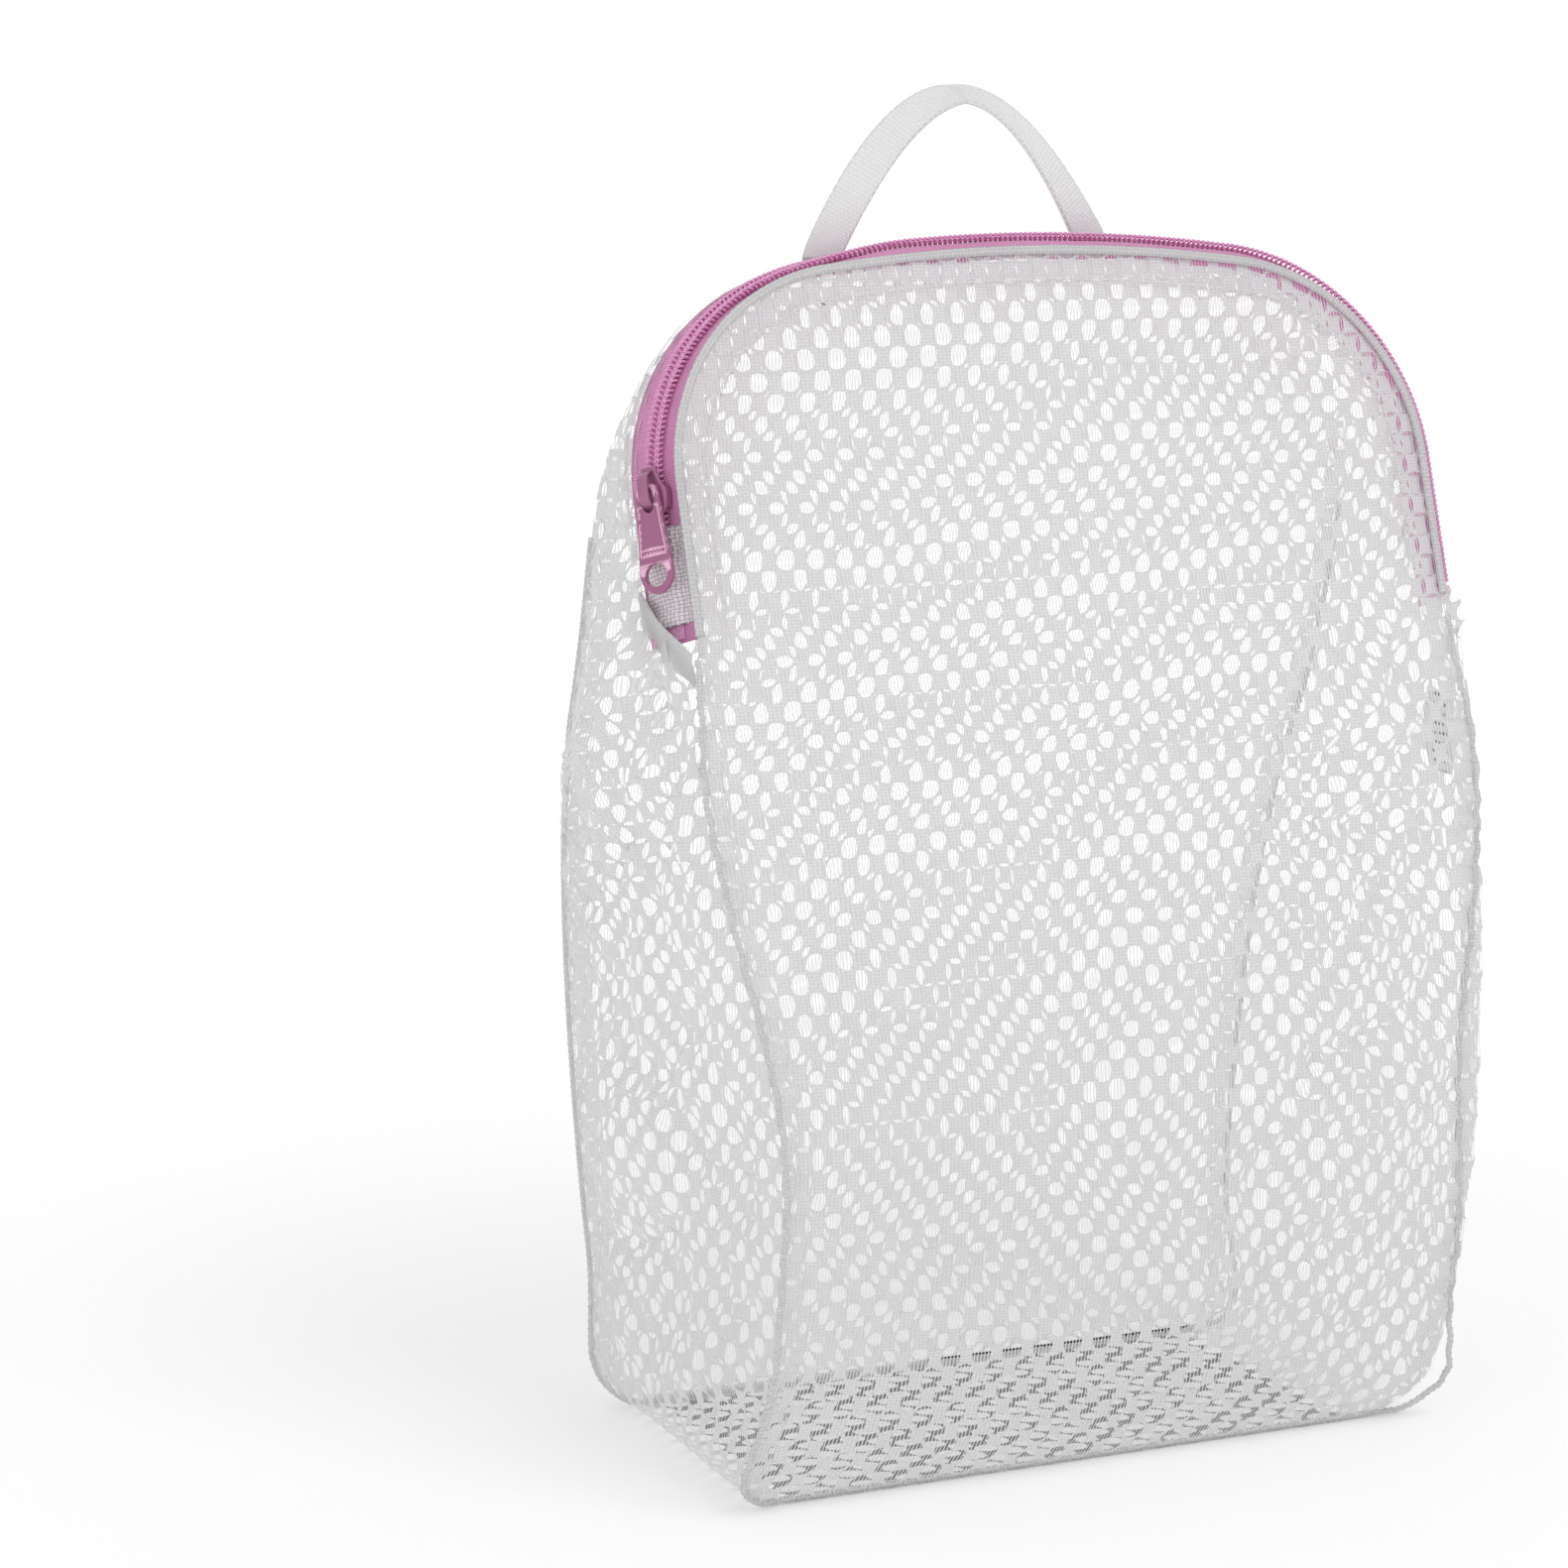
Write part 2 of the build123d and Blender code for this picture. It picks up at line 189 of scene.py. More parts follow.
def smooth_curve(points):
    """Function that gives a smooth value through (place, value) points."""
    def value(place):
        last = len(points) - 1
        n = next((i for i in range(last) if place <= points[i + 1][0]), last - 1)
        (x0, y0), (x1, y1) = points[n], points[n + 1]
        chord = (y1 - y0) / (x1 - x0)
        slope0 = (y1 - points[n - 1][1]) / (x1 - points[n - 1][0]) if n else chord
        slope1 = (points[n + 2][1] - y0) / (points[n + 2][0] - x0) if n + 2 <= last else chord
        t = (place - x0) / (x1 - x0)
        if t < 0 or t > 1:
            return y0 + slope0 * (place - x0) if t < 0 else y1 + slope1 * (place - x1)
        width = x1 - x0
        return ((2 * t**3 - 3 * t**2 + 1) * y0 + (t**3 - 2 * t**2 + t) * width * slope0
                + (3 * t**2 - 2 * t**3) * y1 + (t**3 - t**2) * width * slope1)
    return value


panel_top = rim_foot - (tape_front + panel_gap) * rim_back
front_depth = smooth_curve([(0, -0.047), (0.018, -0.060), (0.070, -0.069), (0.120, -0.066),
                            (0.170, -0.057), (panel_top.z, panel_top.y)])
crest_back = rim_foot + crest * rim_up + tape_back * rim_back
back_depth = smooth_curve([(0, 0.046), (0.020, 0.054), (0.080, 0.058), (0.157, 0.050), (0.222, 0.028),
                           (0.275, 0.015), (crest_back.z, crest_back.y)])
base_half = 0.099
upright_from = 0.195
base_corner = 0.016


def side_at(height):
    """Half the bag's width at a height below the zip's ends."""
    wide = base_half + (half_width - base_half) * min(height / upright_from, 1)
    if height < base_corner:
        wide -= base_corner - math.sqrt(base_corner**2 - (base_corner - height) ** 2)
    return wide


def rim_half(rise, inset=0.0):
    """Half the rim's width at a rise above the zip's ends, or that of a line inside the rim."""
    if rise <= corner_rise:
        return half_width - inset
    reach = corner_radius - inset
    if rise < corner_rise + reach * math.cos(crown_angle):
        return half_width - corner_radius + math.sqrt(reach**2 - (rise - corner_rise) ** 2)
    return math.sqrt(max((crown_radius - inset) ** 2 - (rise - crown_centre) ** 2, 0))


# ---- Net ---------------------------------------------------------------------------------
# White warp-knitted polyester net: staggered oval holes, solid knitted ribs between them, and
# five fine threads that run up each hole. It is cut flat and then sewn to shape.
pitch = 0.0089
row = 0.0057
hole_wide = 0.0054
hole_high = 0.0067
thread_width = 0.00026
thread_tuck = 0.0006
threads_per_hole = 5
rib_inset = 0.0004
blunt_across, blunt_up = 0.8, 0.9
weld = 0.0001
shortest_edge = 0.00003
smallest_face = 1e-9


def net_tile():
    """One hole with its share of ribs, six-sided outside, and its threads, as a mesh."""
    tile = bmesh.new()
    bmesh.ops.create_circle(tile, cap_ends=True, radius=1, segments=12)
    flat_side = math.cos(math.pi / 6)
    for vert in tile.verts:
        angle = math.atan2(vert.co.y, vert.co.x)
        beside_flat = abs((angle + math.pi / 6) % (math.pi / 3) - math.pi / 6) < 0.1
        reach = flat_side if beside_flat else 1
        vert.co = Vector((math.cos(angle) * reach * pitch / 2 / flat_side,
                          math.sin(angle) * reach * row * 2 / 3, 0))
    bmesh.ops.inset_individual(tile, faces=tile.faces[:], thickness=rib_inset)
    hole = [face for face in tile.faces if len(face.verts) == 12][0]
    for vert in hole.verts:
        angle = math.atan2(vert.co.y / row, vert.co.x / pitch)
        across, up = math.cos(angle), math.sin(angle)
        vert.co = Vector((hole_wide / 2 * math.copysign(abs(across) ** blunt_across, across),
                          hole_high / 2 * math.copysign(abs(up) ** blunt_up, up), 0))
    bmesh.ops.delete(tile, geom=[hole], context="FACES_ONLY")
    for thread in range(threads_per_hole):
        x = hole_wide * (thread - (threads_per_hole - 1) / 2) / (threads_per_hole + 0.4)
        long = hole_high * math.sqrt(1 - (2 * x / hole_wide) ** 2) + thread_tuck
        strand = bmesh.ops.create_grid(tile, x_segments=1, y_segments=1, size=0.5)["verts"]
        bmesh.ops.scale(tile, vec=(thread_width, long, 1), verts=strand)
        bmesh.ops.translate(tile, vec=(x, 0, 0), verts=strand)
        for face in {face for vert in strand for face in vert.link_faces}:
            face.material_index = 1
    mesh = bpy.data.meshes.new("net_tile")
    tile.to_mesh(mesh)
    tile.free()
    return mesh


tile_mesh = net_tile()


def add_part(shape, part):
    """Add a finished bmesh to another and drop it."""
    mesh = bpy.data.meshes.new("part")
    part.to_mesh(mesh)
    part.free()
    shape.from_mesh(mesh)
    bpy.data.meshes.remove(mesh)


def cut_net(low, high, keep, trim, shift=(0.0, 0.0)):
    """Flat net between two corners, kept where keep() is true of a hole's middle and trimmed to
    shape by trim(). Its flat coordinates become its UVs."""
    cloth = bmesh.new()
    columns = int((high[0] - low[0]) / pitch) + 2
    for line in range(int((high[1] - low[1]) / row) + 2):
        course = bmesh.new()
        for column in range(columns):
            centre = Vector((low[0] + shift[0] + (column + 0.5 * (line % 2)) * pitch,
                             low[1] + shift[1] + line * row, 0))
            if keep(centre.x, centre.y):
                before = len(course.verts)
                course.from_mesh(tile_mesh)
                course.verts.ensure_lookup_table()
                bmesh.ops.translate(course, vec=centre, verts=course.verts[before:])
        add_part(cloth, course)
    ribs = [vert for vert in cloth.verts if vert.link_faces[0].material_index == 0]
    bmesh.ops.remove_doubles(cloth, verts=ribs, dist=weld)
    for vert in cloth.verts:
        vert.co.x, vert.co.y = trim(vert.co.x, vert.co.y)
    bmesh.ops.dissolve_degenerate(cloth, dist=shortest_edge, edges=cloth.edges)
    spare = [face for face in cloth.faces if face.calc_area() < smallest_face]
    bmesh.ops.delete(cloth, geom=spare, context="FACES")
    uv = cloth.loops.layers.uv.new("cut")
    for face in cloth.faces:
        face.smooth = True
        for loop in face.loops:
            loop[uv].uv = loop.vert.co.xy
    return cloth


def net_area(cloth):
    """Area of flat net, holes left out, in square metres."""
    return sum(face.calc_area() for face in cloth.faces)


def make_piece(shape, name, *materials):
    """An object from a finished bmesh, with its materials."""
    mesh = bpy.data.meshes.new(name)
    shape.to_mesh(mesh)
    shape.free()
    piece = bpy.data.objects.new(name, mesh)
    bpy.context.collection.objects.link(piece)
    for material in materials:
        mesh.materials.append(material)
    return piece


def sew_net(cloth, name, place):
    """Net moved from its flat cut to its sewn place."""
    for vert in cloth.verts:
        vert.co = place(vert.co.x, vert.co.y)
    return make_piece(cloth, name, net_ribs, net_threads)


def new_group(name, inputs, outputs):
    """An empty shader node group with its sockets, and its input and output nodes."""
    group = bpy.data.node_groups.new(name, "ShaderNodeTree")
    for socket, kind, value in inputs:
        made = group.interface.new_socket(name=socket, in_out="INPUT", socket_type=kind)
        if value is not None:
            made.default_value = value
    for socket, kind in outputs:
        group.interface.new_socket(name=socket, in_out="OUTPUT", socket_type=kind)
    return group, group.nodes.new("NodeGroupInput"), group.nodes.new("NodeGroupOutput")


def math_node(tree, operation, first, second=None):
    """A math node fed by sockets or numbers, and its result."""
    node = tree.nodes.new("ShaderNodeMath")
    node.operation = operation
    for socket, value in zip(node.inputs, (first, second)):
        if isinstance(value, bpy.types.NodeSocket):
            tree.links.new(value, socket)
        elif value is not None:
            socket.default_value = value
    return node.outputs[0]


# Yarns that cross: the height of a knitted or woven surface, from its flat coordinates in
# metres and the number of yarns in a metre each way.
yarns, yarns_in, yarns_out = new_group(
    "yarns",
    [("Flat", "NodeSocketVector", None), ("Across", "NodeSocketFloat", 1000.0),
     ("Up", "NodeSocketFloat", 1000.0), ("Fuzz", "NodeSocketFloat", 0.3)],
    [("Height", "NodeSocketFloat"), ("Shade", "NodeSocketFloat")])
apart = yarns.nodes.new("ShaderNodeSeparateXYZ")
yarns.links.new(yarns_in.outputs["Flat"], apart.inputs[0])
yarn_turns = [math_node(yarns, "MULTIPLY", apart.outputs[axis], yarns_in.outputs[count])
              for axis, count in (("X", "Across"), ("Y", "Up"))]
waves = []
for turns in yarn_turns:
    wave = math_node(yarns, "SINE", math_node(yarns, "MULTIPLY", turns, math.pi))
    waves.append(math_node(yarns, "ABSOLUTE", wave))
parity = math_node(yarns, "MODULO",
                   math_node(yarns, "ADD", math_node(yarns, "FLOOR", yarn_turns[0]),
                             math_node(yarns, "FLOOR", yarn_turns[1])), 2.0)
over = math_node(yarns, "ABSOLUTE", parity)
blend_yarns = yarns.nodes.new("ShaderNodeMix")
yarns.links.new(over, blend_yarns.inputs["Factor"])
yarns.links.new(waves[0], blend_yarns.inputs["A"])
yarns.links.new(waves[1], blend_yarns.inputs["B"])
fuzz = yarns.nodes.new("ShaderNodeTexNoise")
fuzz.inputs["Scale"].default_value = 1400
fuzz.inputs["Detail"].default_value = 2
yarns.links.new(yarns_in.outputs["Flat"], fuzz.inputs["Vector"])
fuzzy = math_node(yarns, "MULTIPLY", fuzz.outputs["Fac"], yarns_in.outputs["Fuzz"])
yarn_height = math_node(yarns, "ADD", blend_yarns.outputs[0], fuzzy)
yarns.links.new(yarn_height, yarns_out.inputs["Height"])
patches = yarns.nodes.new("ShaderNodeTexNoise")
patches.inputs["Scale"].default_value = 60
yarns.links.new(yarns_in.outputs["Flat"], patches.inputs["Vector"])
# Shade: low in the yarns' hollows, which paints shade there, mixed with random patches of tone.
yarn_shade = math_node(yarns, "ADD", math_node(yarns, "MULTIPLY", blend_yarns.outputs[0], 0.6),
                       math_node(yarns, "MULTIPLY", patches.outputs["Fac"], 0.4))
yarns.links.new(yarn_shade, yarns_out.inputs["Shade"])


def tint_by(tree, mask, dark, light):
    """Base colour that runs from dark to light by a mask."""
    tint = tree.nodes.new("ShaderNodeMix")
    tint.data_type = "RGBA"
    tint.inputs["A"].default_value = (*dark, 1)
    tint.inputs["B"].default_value = (*light, 1)
    tree.links.new(mask, tint.inputs["Factor"])
    tree.links.new(tint.outputs["Result"], tree.nodes["Principled BSDF"].inputs["Base Color"])


def raise_by(tree, height, depth, strength):
    """Fine relief from a height."""
    relief = tree.nodes.new("ShaderNodeBump")
    relief.inputs["Distance"].default_value = depth
    relief.inputs["Strength"].default_value = strength
    tree.links.new(height, relief.inputs["Height"])
    tree.links.new(relief.outputs["Normal"], tree.nodes["Principled BSDF"].inputs["Normal"])


def cloth_material(name, dark, light, across, up, depth, roughness, fuzz_amount=0.3, sheen=0.15,
                   through=0.0):
    """Cloth made of crossing yarns: its colour in the hollows, darker there as painted shade, and on
    the yarns, the yarns in a metre each way, how deep the hollows are, and how much light passes
    through."""
    material = bpy.data.materials.new(name)
    material.use_nodes = True
    tree = material.node_tree
    look = tree.nodes["Principled BSDF"]
    flat = tree.nodes.new("ShaderNodeUVMap")
    flat.uv_map = "cut"
    cloth = tree.nodes.new("ShaderNodeGroup")
    cloth.node_tree = yarns
    cloth.inputs["Across"].default_value = across
    cloth.inputs["Up"].default_value = up
    cloth.inputs["Fuzz"].default_value = fuzz_amount
    tree.links.new(flat.outputs["UV"], cloth.inputs["Flat"])
    tint_by(tree, cloth.outputs["Shade"], dark, light)
    raise_by(tree, cloth.outputs["Height"], depth, strength=0.8)
    look.inputs["Roughness"].default_value = roughness
    look.inputs["Sheen Weight"].default_value = sheen
    look.inputs["Sheen Roughness"].default_value = 0.4
    look.inputs["Specular IOR Level"].default_value = 0.3
    if through:
        glow = tree.nodes.new("ShaderNodeBsdfTranslucent")
        glow.inputs["Color"].default_value = (0.95, 0.95, 0.95, 1)
        both = tree.nodes.new("ShaderNodeMixShader")
        both.inputs["Fac"].default_value = through
        tree.links.new(look.outputs["BSDF"], both.inputs[1])
        tree.links.new(glow.outputs["BSDF"], both.inputs[2])
        tree.links.new(both.outputs["Shader"], tree.nodes["Material Output"].inputs["Surface"])
    return material


net_ribs = cloth_material("net_ribs", (0.62, 0.62, 0.625), (0.86, 0.86, 0.865), across=900, up=1100,
                          depth=0.0004, roughness=0.75, fuzz_amount=0.25, sheen=0.1, through=0.45)
net_threads = cloth_material("net_threads", (0.82, 0.82, 0.82), (0.92, 0.92, 0.92), across=2500,
                             up=1600, depth=0.0001, roughness=0.7, fuzz_amount=0.1, sheen=0.1,
                             through=0.6)


def crumple(across, up, seed, size=0.035):
    """Soft creases, from 0 to 1 deep, of cloth that has been folded and shaken out."""
    spot = Vector((across / size, up / size, seed))
    soft = noise.noise(spot) + 0.5 * noise.noise(2.1 * spot)
    crease = 1 - min(1, abs(noise.noise(0.7 * spot + Vector((3, 7, seed)))) * 5)
    return 0.6 * soft - 0.5 * crease


def ease(value):
    """Smooth step from 0 to 1."""
    value = max(0.0, min(1.0, value))
    return value * value * (3 - 2 * value)


foot_let_out = 0.0080
foot_high = 0.045
side_drawn_in = 0.0070
drawn_height = 0.105
drawn_reach = 0.045


def slouch(spot):
    """Where a point has settled on the bag's left side, let out at the foot and drawn in above."""
    left = ease((-spot.x - 0.03) / 0.07)
    front = ease((0.03 - spot.y) / 0.08)
    foot = -foot_let_out * ease((foot_high - spot.z) / foot_high) * (0.6 + 0.4 * front)
    drawn_in = side_drawn_in * front * math.exp(-((spot.z - drawn_height) / drawn_reach) ** 2)
    return spot + Vector((left * (foot + drawn_in), 0, 0))


# ---- Front panel -------------------------------------------------------------------------
# One piece of net from the base seam to the zip. Sewn to the gusset strip along its sides and foot,
# and to the zip's tape above.
steps = 400
hem_drop = 0.0036
crease_size = 0.06
smooth_edge = 0.04
front_swell = 0.007
front_crease = 0.0045
pucker_deep = 0.0007
pucker_turns = 700
pull_deep = 0.0035
pull_wide = 0.007
pull_start = 0.085
pull_lean = 0.10
spill = 0.3 * pitch


def measured(path):
    """Lengths along a path, from its start to each of its points."""
    lengths = [0.0]
    for near, far in zip(path, path[1:]):
        lengths.append(lengths[-1] + (far - near).length)
    return lengths


def profile_path(depth, top):
    """Points up a panel's middle from the floor, and the lengths along them."""
    path = [Vector((0, depth(top * n / steps), top * n / steps)) for n in range(steps + 1)]
    return path, measured(path)


front_path, front_measure = profile_path(front_depth, panel_top.z)
front_to_rim = front_measure[-1]


def walk(path, measure, length):
    """The point at a length along a measured path, with straight ends."""
    low, high = 0, len(path) - 1
    while high - low > 1:
        middle = (low + high) // 2
        low, high = (middle, high) if measure[middle] <= length else (low, middle)
    return path[low].lerp(path[high], (length - measure[low]) / (measure[high] - measure[low]))


def front_half(up):
    """Half the panel's width at a length up it."""
    if up >= front_to_rim:
        return rim_half(up - front_to_rim, hem_drop)
    near_rim = ease(1 - (front_to_rim - up) / 0.05)
    return side_at(walk(front_path, front_measure, max(up, 0)).z) - hem_drop * near_rim


def rim_gap(across, rise):
    """Distance inside the rim, and the outward direction there."""
    if rise < corner_rise:
        return half_width - abs(across), Vector((math.copysign(1, across), 0))
    from_corner = Vector((abs(across) - (half_width - corner_radius), rise - corner_rise))
    if from_corner.x > 0 and from_corner.x > from_corner.y * math.tan(crown_angle):
        gap = corner_radius - from_corner.length
        out = from_corner.normalized()
        return gap, Vector((math.copysign(out.x, across), out.y))
    from_crown = Vector((across, rise - crown_centre))
    return crown_radius - from_crown.length, from_crown.normalized()


def sew_front(across, up, proud=0.0):
    """Place on the sewn bag of a point of the flat front panel, or of a layer proud of it."""
    if up >= front_to_rim:
        spot = panel_top + (up - front_to_rim) * rim_up
    else:
        spot = walk(front_path, front_measure, max(up, 0))
    edge = ease(min(1.0, (half_width - abs(across)) / smooth_edge))
    top = ease((front_to_rim + crest - up) / 0.05) * ease(up / 0.03)
    belly = math.sin(math.pi * min(max(up / 0.26, 0), 1)) ** 1.2
    swell = front_swell * (1 - (across / half_width) ** 2) * belly
    wave = front_crease * crumple(across, up * 0.6, 2.3, crease_size) * edge * top
    uneven = 5 * noise.noise(Vector((up * 40, 0, 1)))
    pucker = pucker_deep * math.sin(up * pucker_turns + uneven) * (1 - edge)
    off_pull = across + pull_start - pull_lean * (front_to_rim - up)
    pull = pull_deep * math.exp(-(off_pull / pull_wide) ** 2) \
        * ease((front_to_rim + 0.01 - up) / 0.03) * ease((up - front_to_rim + 0.11) / 0.08)
    out = swell + wave + pull + (pucker if up < front_to_rim else 0) + proud
    forwards = rim_back if up >= front_to_rim else Vector((0, 1, 0))
    return slouch(Vector((across, spot.y, spot.z)) - out * forwards)


front_top = front_to_rim + crest - hem_drop


def trim_front(across, up):
    """The nearest place on the cut shape of the front panel."""
    up = max(0.0, min(up, front_top - 0.0002))
    half = front_half(up)
    return max(-half, min(half, across)), up


def on_front(across, up):
    """True where a hole's middle is on the front panel."""
    half = front_half(min(max(up, 0), front_top - 0.001))
    return -row / 2 <= up <= front_top + row / 2 and abs(across) < half + spill


front_cloth = cut_net((-half_width - pitch, 0), (half_width + pitch, front_top), on_front, trim_front)
front_area = net_area(front_cloth)
front_net = sew_net(front_cloth, "front_net", sew_front)
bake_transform(front_net)
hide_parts("front_panel_lower", "front_panel_flap")

# ---- Front hem ---------------------------------------------------------------------------
# The panel's edge along the zip, folded back on itself and stitched down, so that the net is
# doubled in a band a centimetre wide.
hem_width = 0.0100
hem_proud = 0.0007
hem_slack = 0.002
hem_foot = 2 * row * int(front_to_rim / (2 * row))


def trim_hem(across, up):
    """The nearest place on the hem's band."""
    rise = max(up - front_to_rim, 0.001)
    gap, out = rim_gap(across, rise)
    move = min(0, gap - hem_drop) if gap < hem_drop else max(0, gap - hem_drop - hem_width)
    return across + move * out.x, front_to_rim + rise + move * out.y


def on_hem(across, up):
    """True where a hole's middle is near the hem's band."""
    if up < front_to_rim:
        return False
    gap, out = rim_gap(across, up - front_to_rim)
    return hem_drop - hem_slack < gap < hem_drop + hem_width + hem_slack


second_shift = (pitch / 2, 0.0003)
hem_cloth = cut_net((-half_width - pitch, hem_foot), (half_width + pitch, front_top), on_hem,
                    trim_hem, second_shift)
front_hem_area = net_area(hem_cloth)
front_hem = sew_net(hem_cloth, "front_hem", lambda across, up: sew_front(across, up, hem_proud))
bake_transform(front_hem)
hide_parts("front_hem_left", "front_hem_right", "front_hem_flap")

# ---- Back panel --------------------------------------------------------------------------
# One piece of net from the base seam up to the back of the zip. Sewn to the gusset strip along
# its sides and foot, and to the back tape above.
back_swell = 0.006
back_crease = 0.006
back_path, back_measure = profile_path(back_depth, crest_back.z)
back_top = back_measure[-1]


def back_half(up):
    """Half the back panel's width at a length up it."""
    spot = walk(back_path, back_measure, max(0, min(up, back_top)))
    rise = (spot - rim_foot).dot(rim_up)
    return rim_half(rise) if rise > 0 else side_at(spot.z)


def sew_back(across, up, proud=0.0):
    """Place on the sewn bag of a point of the flat back panel."""
    spot = walk(back_path, back_measure, max(0, min(up, back_top)))
    edge = ease(min(1.0, (half_width - abs(across)) / smooth_edge))
    top = ease((back_top - up) / 0.06) * ease(up / 0.03)
    belly = math.sin(math.pi * min(max(up / 0.28, 0), 1)) ** 1.2
    swell = back_swell * (1 - (across / half_width) ** 2) * belly
    wave = back_crease * crumple(across, up * 0.7, 8.1, crease_size) * edge * top
    return slouch(Vector((across, spot.y + swell + wave + proud, spot.z)))


def trim_back(across, up):
    """The nearest place on the cut shape of the back panel."""
    up = max(0.0, min(up, back_top - 0.0003))
    half = back_half(up)
    return max(-half, min(half, across)), up


def on_back(across, up):
    """True where a hole's middle is on the back panel."""
    return -row / 2 <= up <= back_top and abs(across) < back_half(up) + spill


back_cloth = cut_net((-half_width - pitch, 0), (half_width + pitch, back_top), on_back, trim_back)
back_area = net_area(back_cloth)
back_net = sew_net(back_cloth, "back_net", sew_back)
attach(back_net, "bag")
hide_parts("back_panel")

# ---- Gusset strip ------------------------------------------------------------------------
# One long strip of net that runs up one side, under the base and up the other side, and
# narrows to nothing behind the zip's corners. It is the most crumpled part of the bag.
belly_left, belly_right = 0.009, 0.018
seed_left, seed_right = 6.9, 4.4
waist_in = 0.010
waist_height = 0.215
gusset_crease = 0.0085
crease_apart = 0.036
fold_deep = 0.003
zip_lap = 0.0030
tuck_deep = 0.0055
past_zip = 0.02
zip_foot_height = rim_foot.z
base_flat = base_half - base_corner
slope = (half_width - base_half) / upright_from
outline = [Vector((base_flat * n / 20, 0)) for n in range(20)]
for n in range(17):
    angle = math.pi / 2 * n / 16
    height = base_corner * (1 - math.cos(angle))
    outline.append(Vector((base_flat + base_corner * math.sin(angle) + slope * height, height)))
for n in range(1, 61):
    height = base_corner + (zip_foot_height - base_corner) * n / 60
    outline.append(Vector((side_at(height), height)))
for n in range(1, 81):
    x, rise, out_x, out_up = rim_flat((rim_length / 2) * n / 80)
    outline.append(Vector((-x, zip_foot_height + rise)))
outline_measure = measured(outline)
gusset_half = outline_measure[-1] - past_zip
lean_slope = -rim_back.z / rim_back.y


def gusset_point(depth, along):
    """Place of a point of the gusset from its depth and its length from the middle of the base."""
    spot = walk(outline, outline_measure, min(abs(along), outline_measure[-1] - 1e-5))
    leaning = ease((spot.y - 0.12) / (zip_foot_height - 0.12))
    z = spot.y - leaning * (depth - rim_foot.y) * lean_slope
    if spot.y > zip_foot_height:
        z = zip_foot_height + ((spot.y - zip_foot_height) - (depth - rim_foot.y) * rim_up.y) / rim_up.z
    return Vector((math.copysign(spot.x, along), depth, z)), spot.y


def gusset_limits(along):
    """Front and back limits of the gusset's depth at a length along it."""
    front, back = -0.045, 0.045
    for n in range(4):
        spot, nominal = gusset_point(front, along)
        front = front_depth(spot.z)
        if nominal > zip_foot_height:
            rise = nominal - zip_foot_height
            behind = -tape_back + 2 * tape_back * min(rise / 0.018, 1)
            front = (rim_foot + rise * rim_up + behind * rim_back).y
        spot, nominal = gusset_point(back, along)
        back = back_depth(spot.z)
    return front, max(back, front + 0.0008)


limit_steps = 260
limits = [gusset_limits(gusset_half * n / limit_steps) for n in range(limit_steps + 1)]


def gusset_span(along):
    """Front and back limits, read between worked-out places."""
    place = min(abs(along), gusset_half) / gusset_half * limit_steps
    n = min(int(place), limit_steps - 1)
    t = place - n
    return tuple(limits[n][k] * (1 - t) + limits[n + 1][k] * t for k in (0, 1))


def sew_gusset(depth, along):
    """Place on the sewn bag of a point of the flat gusset strip."""
    spot, nominal = gusset_point(depth, along)
    front, back = gusset_span(along)
    inland = ease(min(depth - front, back - depth) / 0.022)
    middle = 1 - ((depth - (front + back) / 2) / ((back - front) / 2)) ** 2 if back > front else 0
    side = ease((nominal - 0.004) / 0.03) * ease((0.30 - nominal) / 0.05)
    belly_out, seed = (belly_right, seed_right) if along > 0 else (belly_left, seed_left)
    belly = belly_out * middle * math.sin(math.pi * min(max((nominal + 0.01) / 0.19, 0), 1))
    waist = -waist_in * middle * math.exp(-((nominal - waist_height) / 0.035) ** 2)
    wave = gusset_crease * crumple(depth + 0.5 * nominal, nominal, seed, crease_apart) * inland
    uneven = 4 * noise.noise(Vector((nominal * 22, depth * 16, seed)))
    crease = fold_deep * math.sin(150 * (depth + 0.35 * nominal) + uneven) * inland \
        * math.exp(-((nominal - 0.19) / 0.06) ** 2)
    over_zip = zip_lap * ease((nominal - zip_foot_height + 0.01) / 0.008) \
        * ease(1 - (depth - front) / 0.02)
    tuck = 0.0
    if along < 0:
        tuck = tuck_deep * math.exp(-((depth - front - 0.011) / 0.006) ** 2) \
            * ease((0.240 - nominal) / 0.02) * ease((nominal - 0.12) / 0.06)
    out = side * (belly + waist + wave + crease) + over_zip + tuck
    return slouch(spot + Vector((math.copysign(out, along), 0, 0)))


def trim_gusset(depth, along):
    """The nearest place on the cut shape of the gusset."""
    along = max(-gusset_half, min(gusset_half, along))
    front, back = gusset_span(along)
    return max(front, min(back, depth)), along


def on_gusset(depth, along):
    """True where a hole's middle is on the gusset strip."""
    front, back = gusset_span(along)
    return front - spill < depth < back + spill and abs(along) < gusset_half


gusset_cloth = cut_net((-0.072, -gusset_half), (0.064, gusset_half), on_gusset, trim_gusset)
gusset_area = net_area(gusset_cloth)
gusset_net = sew_net(gusset_cloth, "gusset_net", sew_gusset)
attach(gusset_net, "bag")
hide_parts("gusset_strip")

# ---- Seam allowances ---------------------------------------------------------------------
# The edges of the panels turned in along their seams, so that the net is doubled in a band
# inside each seam and shows through as a paler stripe.
allowance = 0.0068
allowance_behind = 0.0013
allowance_slack = 0.003


